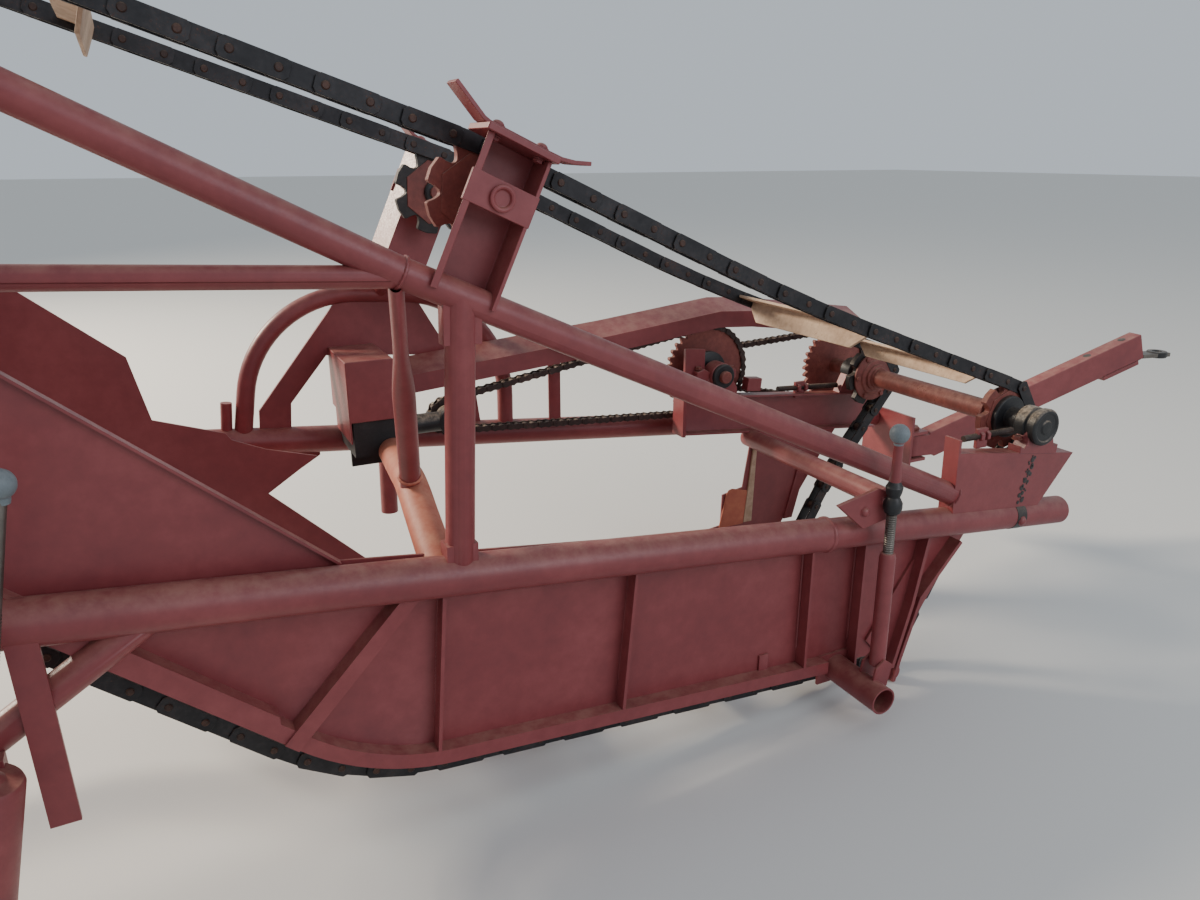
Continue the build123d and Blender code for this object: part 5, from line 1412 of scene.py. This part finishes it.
@dataclass
class Frames:
    """Tubes, rails, posts and brackets of the frame, with their seams and bolts."""

    shop: Workshop

    def build(self) -> None:
        """Round the edges of the frame's nodes, and add arch, sleeve, seams and the jack's bracket."""
        for node, width in FRAME_EDGES.items():
            self.shop.eased(node, width)
        self.arch()
        self.sleeve()
        self.collars()
        self.jack_bracket()

    def collars(self) -> None:
        """Lay the round weld seams at the ends of the front rails."""
        run, across = rail_frame()
        angle = np.linspace(0, TAU, 49)
        turn = np.cos(angle)[:, None] * np.array(LEFTWARD) + np.sin(angle)[:, None] * across
        seams = []
        for place in ((1926.0, -TUBE_Y, 570.0), (426.0, -TUBE_Y, 1263.0), (426.0, TUBE_Y, 1263.0)):
            seams.append(hose(np.array(place) + 31.0 * turn, 3.5 + 0.6 * np.sin(angle * 16), 6, run))
        self.shop.put("frame_welds", seams, FADED_RED)

    def jack_bracket(self) -> None:
        """Make the leaning plate that holds the front jack, with its two round-headed bolts."""
        corners = [(1474, 632), (1594, 664), (1644, 641), (1655, 583), (1556, 559)]
        rear, near, slant = 1474.0, -TUBE_Y - 46.0, 0.1
        plate = upright(corners, -6.0, 6.0)
        plate.points[:, 1] += near - slant * (plate.points[:, 0] - rear)
        self.shop.put("jack_bracket_plate", plate, FADED_RED, stands_for=["jack_bracket"], bevel_mm=1.5)
        spots = [(x, near - 6.0 - slant * (x - rear), z) for x, z in ((1557.0, 605.0), (1614.0, 627.0))]
        self.shop.put("bracket_bolts", fasteners(spots, (-slant, -1, 0), 12, Head.DOME), FADED_RED)

    def arch(self) -> None:
        """Make the arched cross tube in one smooth bend, and the strut that stands on it."""
        near, bend = on_tube(470.0), np.array((500.0, -60.0, 735.0))
        far = np.array((581.0, LEFT_TUBE_Y, tube_z(581.0, Side.LEFT) - 4))
        t = np.linspace(0, 1, 15)[:, None]
        before, after = bend + 0.3 * (near - bend), bend + 0.16 * (far - bend)
        curve = (1 - t) ** 2 * before + 2 * t * (1 - t) * (bend + (0, 0, 8)) + t ** 2 * after
        tube = hose(np.vstack([near[None], curve, far[None]]), 38.0, 32, FORWARD)
        self.shop.put("cross_tube_arch", tube, RUST_ORANGE, stands_for=["cross_tube"])
        self.arch_strut()

    def arch_strut(self) -> None:
        """Make the strut from the arch to the rail with its weld, and the post under the arch's far end.

        The strut's section is round with a radius of 24 mm in its lower half. A smooth step makes it an
        ellipse of 33 by 15 mm near the rail.
        """
        foot, top = np.array((490.0, -96.0, 735.0)), np.array((418.0, -TUBE_Y + 10, 1246.0))
        share = np.linspace(0, 1, 25)
        flat = np.clip((share - 0.5) / 0.24, 0, 1)
        flat = flat * flat * (3 - 2 * flat)
        run = unit(top - foot)
        side = unit(np.cross(UP, run))
        normal = np.cross(run, side)
        c, s = circle(24).T
        wide = ((24.0 + 9.0 * flat)[:, None] * c)[:, :, None] * normal
        thin = ((24.0 - 9.0 * flat)[:, None] * s)[:, :, None] * side
        axis = foot + share[:, None] * (top - foot)
        post = rod((585.0, LEFT_TUBE_Y, tube_z(585.0, Side.LEFT)), (579.0, LEFT_TUBE_Y, 435.0), 25.0)
        self.shop.put("arch_strut", grid(axis[:, None] + wide + thin, wrap_v=True) + post, FADED_RED)
        angle = np.linspace(0, TAU, 40)
        around = 25.0 * (np.cos(angle)[:, None] * normal + np.sin(angle)[:, None] * side)
        seam = foot + 0.075 * (top - foot) + around
        self.shop.put("arch_weld", hose(seam, 4.0 + 0.6 * np.sin(angle * 14), 6, run), RUST_ORANGE)

    def sleeve(self) -> None:
        """Make the larger sleeve over the rear part of the right main tube, and the collar where it ends."""
        rear, front = on_tube(-1270.0), on_tube(1480.0)
        length = float(np.linalg.norm(front - rear))
        place = axes(front - rear, LEFTWARD, rear)
        shell = lathe([(41.5, 0), (44, 2), (44, length - 3), (41.5, length)], place, 40)
        ring = [(42, -4), (47, 1), (47.5, 6), (44, 11), (41.5, 13)]
        collar = lathe([(r, length + h) for r, h in ring], place, 40)
        self.shop.put("right_tube_sleeve", shell + collar, FADED_RED)


@dataclass
class Drawbar:
    """Drawbar with its pin and tongue."""

    shop: Workshop
    body: str = "drawbar_body"
    pivot: Vec = (2570.0, 384.0, 400.0)
    tip: Vec = (3575.0, 206.0, 728.0)
    eye: Vec = (3686.55, 186.244, 684.0)

    def build(self) -> None:
        """Round the drawbar's edges, and add the pivot pin's head, black discs of painted shade for the two
        holes and the thick eye.
        """
        self.shop.eased("drawbar", 4.0, self.body)
        self.shop.eased("hitch_tongue", 3.0, self.body)
        above = axes(UP, FORWARD, np.array(self.pivot) + (0, 0, 59))
        pin = lathe([(22, 0), (24, 3), (24, 12), (20, 16)], above, 6)
        self.shop.put("drawbar_pin_head", pin, SPROCKET_STEEL)
        self.holes()
        section = [(18, -12), (36, -12), (39, -8), (39, 8), (36, 12), (18, 12), (17.2, 8), (17.2, -8)]
        ring = lathe(section, axes(UP, FORWARD, self.eye), 40)
        self.shop.put("tongue_eye", ring, BLACK_ENAMEL_AND_HOLE_SHADE, self.body)

    def holes(self) -> None:
        """Paint the shade of the two holes in the drawbar's top face as flat black discs."""
        tip = np.array(self.tip)
        reach = tip - self.pivot
        along = unit(reach - 70 * unit(reach * (1, 1, 0)))
        up = unit(np.cross(np.cross(along, UP), along))
        rings = []
        for back in (70.0, 240.0):
            place = axes(up, along, tip - along * back + up * 52.0)
            rings.append(lathe([(15.0, 0.0), (14.0, 0.4), (0.0, 0.4)], place, 24))
        # Black discs of painted shade where the holes are.
        self.shop.put("drawbar_holes", rings, BLACK_ENAMEL_AND_HOLE_SHADE, self.body)


@dataclass
class Wheels:
    """Two wheels: tyre with two rows of slanting lugs, and a dished rim with six bolts."""

    shop: Workshop
    x: float = -1950.0
    y: float = 800.0
    radius: float = 380.0
    width: float = 264.0
    rim_r: float = 196.0
    lugs: int = 18

    def build(self) -> None:
        """Make both wheels."""
        for side in Side:
            word, body = side.word, "wheel_" + side.word
            self.shop.put(f"tyre_{word}_dressed", self.tyre(side), TYRE_RUBBER, body, ["tyre_" + word])
            self.shop.put(f"rim_{word}_dressed", self.rim(side), WHEEL_PAINT, body, ["rim_" + word])
            face = side.value * (self.y + 22.0)
            spots = [(self.x + 95 * c, face, self.radius + 95 * s) for c, s in circle(6)]
            self.shop.put(f"rim_{word}_nuts", fasteners(spots, (0, side.value, 0), 16), SPROCKET_STEEL, body)

    def tyre(self, side: Side) -> Shell:
        """Tyre surface.

        Args:
            side: Side of the machine.

        Returns:
            A closed tube of section (r, w): the carcass is a superellipse between the rim and the crown, and
            each lug adds 15 mm to r on the crown where |frac(lugs a / 2 pi + slant |w|) - 0.5| is small.
        """
        turn = TAU * np.arange(432) / 432
        tread_r = self.radius - 16.0
        c, s = circle(72).T
        power = 0.62
        r = (tread_r + self.rim_r) / 2 + (tread_r - self.rim_r) / 2 * np.sign(s) * np.abs(s) ** power
        w = (self.width / 2 - 3.0) * np.sign(c) * np.abs(c) ** power
        share = np.abs(w) / (self.width / 2)
        half = np.where(w > 0, 0.5, 0.0)
        phase = (self.lugs * turn[:, None] / TAU + 0.85 * share[None, :] + half[None, :]) % 1.0
        ridge = np.clip((0.19 - np.abs(phase - 0.5)) / 0.05, 0, 1)
        crown = np.clip((r - (self.radius - 62.0)) / 22.0, 0, 1) * np.clip((share - 0.03) / 0.03, 0, 1)
        radius = r[None, :] + 15.0 * ridge * crown[None, :]
        y = np.broadcast_to(w[None, :], radius.shape) + side.value * self.y
        x, z = self.x + radius * np.cos(turn)[:, None], self.radius + radius * np.sin(turn)[:, None]
        return grid(np.stack([x, y, z], axis=-1), wrap_u=True, wrap_v=True)

    def rim(self, side: Side) -> Shell:
        """Dished rim with flanges, a well and a hub with its cap.

        Args:
            side: Side of the machine.

        Returns:
            Lathe work through the inner face, the tyre's seat and the outer face.
        """
        r = self.rim_r
        inner = [(12, -62), (70, -60), (72, 10), (150, 10), (r - 34, 4), (r - 32, -44), (r - 14, -100),
                 (r - 6, -118)]
        flange = [(r, 122), (r + 7, 116), (r, 106), (r - 12, 96), (r - 26, 40)]
        seat = [(a, -h) for a, h in flange] + flange[::-1]
        outer = [(r - 6, 118), (r - 14, 100), (r - 32, 44), (r - 34, 30), (150, 20), (128, 22), (118, 22),
                 (70, 22), (66, 40), (62, 62), (40, 66), (36, 82), (12, 84)]
        profile = [(a, side.value * (self.y + h)) for a, h in inner + seat + outer]
        return turned(self.x, self.radius, profile if side is Side.LEFT else profile[::-1], 48)


@dataclass
class Hopper:
    """Tipping hopper with pressed ribs, and its cylinder."""

    shop: Workshop

    def build(self) -> None:
        """Round the edges of the hopper and its cylinder, and add three stiffening ribs on each side."""
        self.shop.eased("hopper", 2.0, "hopper_body")
        self.shop.eased("hopper_underframe", 3.0, "hopper_body")
        self.shop.eased("ram_barrel", 1.5, "ram_barrel_body")
        self.shop.eased("ram_rod", 1.0, "ram_rod_body")
        ribs = []
        for y in (-611.0, 611.0):
            for foot, top, high in ((-1800.0, -1830.0, 1420.0), (-2150.0, -2230.0, 1435.0),
                                    (-2500.0, -2640.0, 1450.0)):
                ribs.append(strut((foot, y, 930.0), (top, y, high), 22, 50, FORWARD))
        self.shop.put("hopper_ribs", ribs, FADED_RED, "hopper_body", bevel_mm=4.0)


# Studio


@dataclass
class Studio:
    """Camera at the photograph's viewpoint, pale floor and soft lights."""

    eye: Vec = (0.0, -2028.6, 1472.0)
    right: Vec = (0.8922, -0.4514, 0.0)
    forward: Vec = (0.4288, 0.8467, -0.314)
    focal_px: float = 901.0
    image_px: float = 1200.0
    sensor_mm: float = 36.0

    def build(self) -> None:
        """Make the camera, the floor and the lights."""
        self.camera()
        self.floor()
        self.lights()

    @staticmethod
    def link(name: str, data: bpy.types.ID, place: np.ndarray) -> bpy.types.Object:
        """Put a camera, a mesh or a lamp in the scene.

        Args:
            name: Name of the object.
            data: Its data.
            place: 4 by 4 transform in metres.

        Returns:
            The object.
        """
        obj = bpy.data.objects.new(name, data)
        obj.matrix_world = Matrix(place.tolist())
        bpy.context.scene.collection.objects.link(obj)
        return obj

    def camera(self) -> None:
        """Stand the camera where the photograph's stood."""
        forward = unit(np.array(self.forward))
        right = unit(np.array(self.right) - np.dot(self.right, forward) * forward)
        turn = np.eye(4)
        turn[:3, 0], turn[:3, 1], turn[:3, 2] = right, np.cross(right, forward), -forward
        turn[:3, 3] = at(self.eye)
        data = bpy.data.cameras.new("camera")
        data.sensor_width = self.sensor_mm
        data.lens = self.focal_px / self.image_px * self.sensor_mm
        data.clip_start, data.clip_end = 0.02, 200.0
        bpy.context.scene.camera = self.link("camera", data, turn)

    def floor(self) -> None:
        """Lay a plain pale floor."""
        mesh = bpy.data.meshes.new("floor")
        size = 60.0
        corners = [(-size, -size, 0), (size, -size, 0), (size, size, 0), (-size, size, 0)]
        mesh.from_pydata(corners, [], [(0, 1, 2, 3)])
        obj = self.link("floor", mesh, np.eye(4))
        material = bpy.data.materials.new("pale_floor")
        material.use_nodes = True
        shader = material.node_tree.nodes["Principled BSDF"]
        shader.inputs["Base Color"].default_value = linear("D9D7D2")
        shader.inputs["Roughness"].default_value = 0.85
        mesh.materials.append(material)

    def lights(self) -> None:
        """Hang a large key light where the photograph's sun stands, with a soft fill and a pale sky."""
        world = bpy.data.worlds.new("studio_sky")
        world.use_nodes = True
        world.node_tree.nodes["Background"].inputs[0].default_value = linear("DCE6F0")
        world.node_tree.nodes["Background"].inputs[1].default_value = 0.75
        bpy.context.scene.world = world
        lamps = (("key", (-5200.0, 6200.0, 5200.0), 2.2, 1500.0, "FFF1DC"),
                 ("fill", (3800.0, -7000.0, 4200.0), 5.0, 200.0, "F2F5FF"))
        for name, place, size, power, colour in lamps:
            data = bpy.data.lights.new(name, "AREA")
            data.shape = "DISK"
            data.size = size
            data.energy = power
            data.color = linear(colour)[:3]
            turn = axes(np.array(place) - (600.0, 0.0, 700.0), FORWARD)
            turn[:3, 3] = at(place)
            self.link(name, data, turn)


def main() -> None:
    """Build the stone picker's visual model."""
    logging.basicConfig(level=logging.INFO, format="%(name)s: %(message)s")
    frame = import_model()
    Studio().build()
    shop = Workshop(frame)
    shop.dress_nodes()
    conveyor = Conveyor(shop)
    conveyor.build()
    Shafts(shop, conveyor.loops).build()
    RollerDrive(shop).build()
    for assembly in (FrontBearings, IdlerPosts, Jacks, Trough, Frames, Drawbar, Wheels, Hopper):
        assembly(shop).build()


if __name__ == "__main__":
    main()
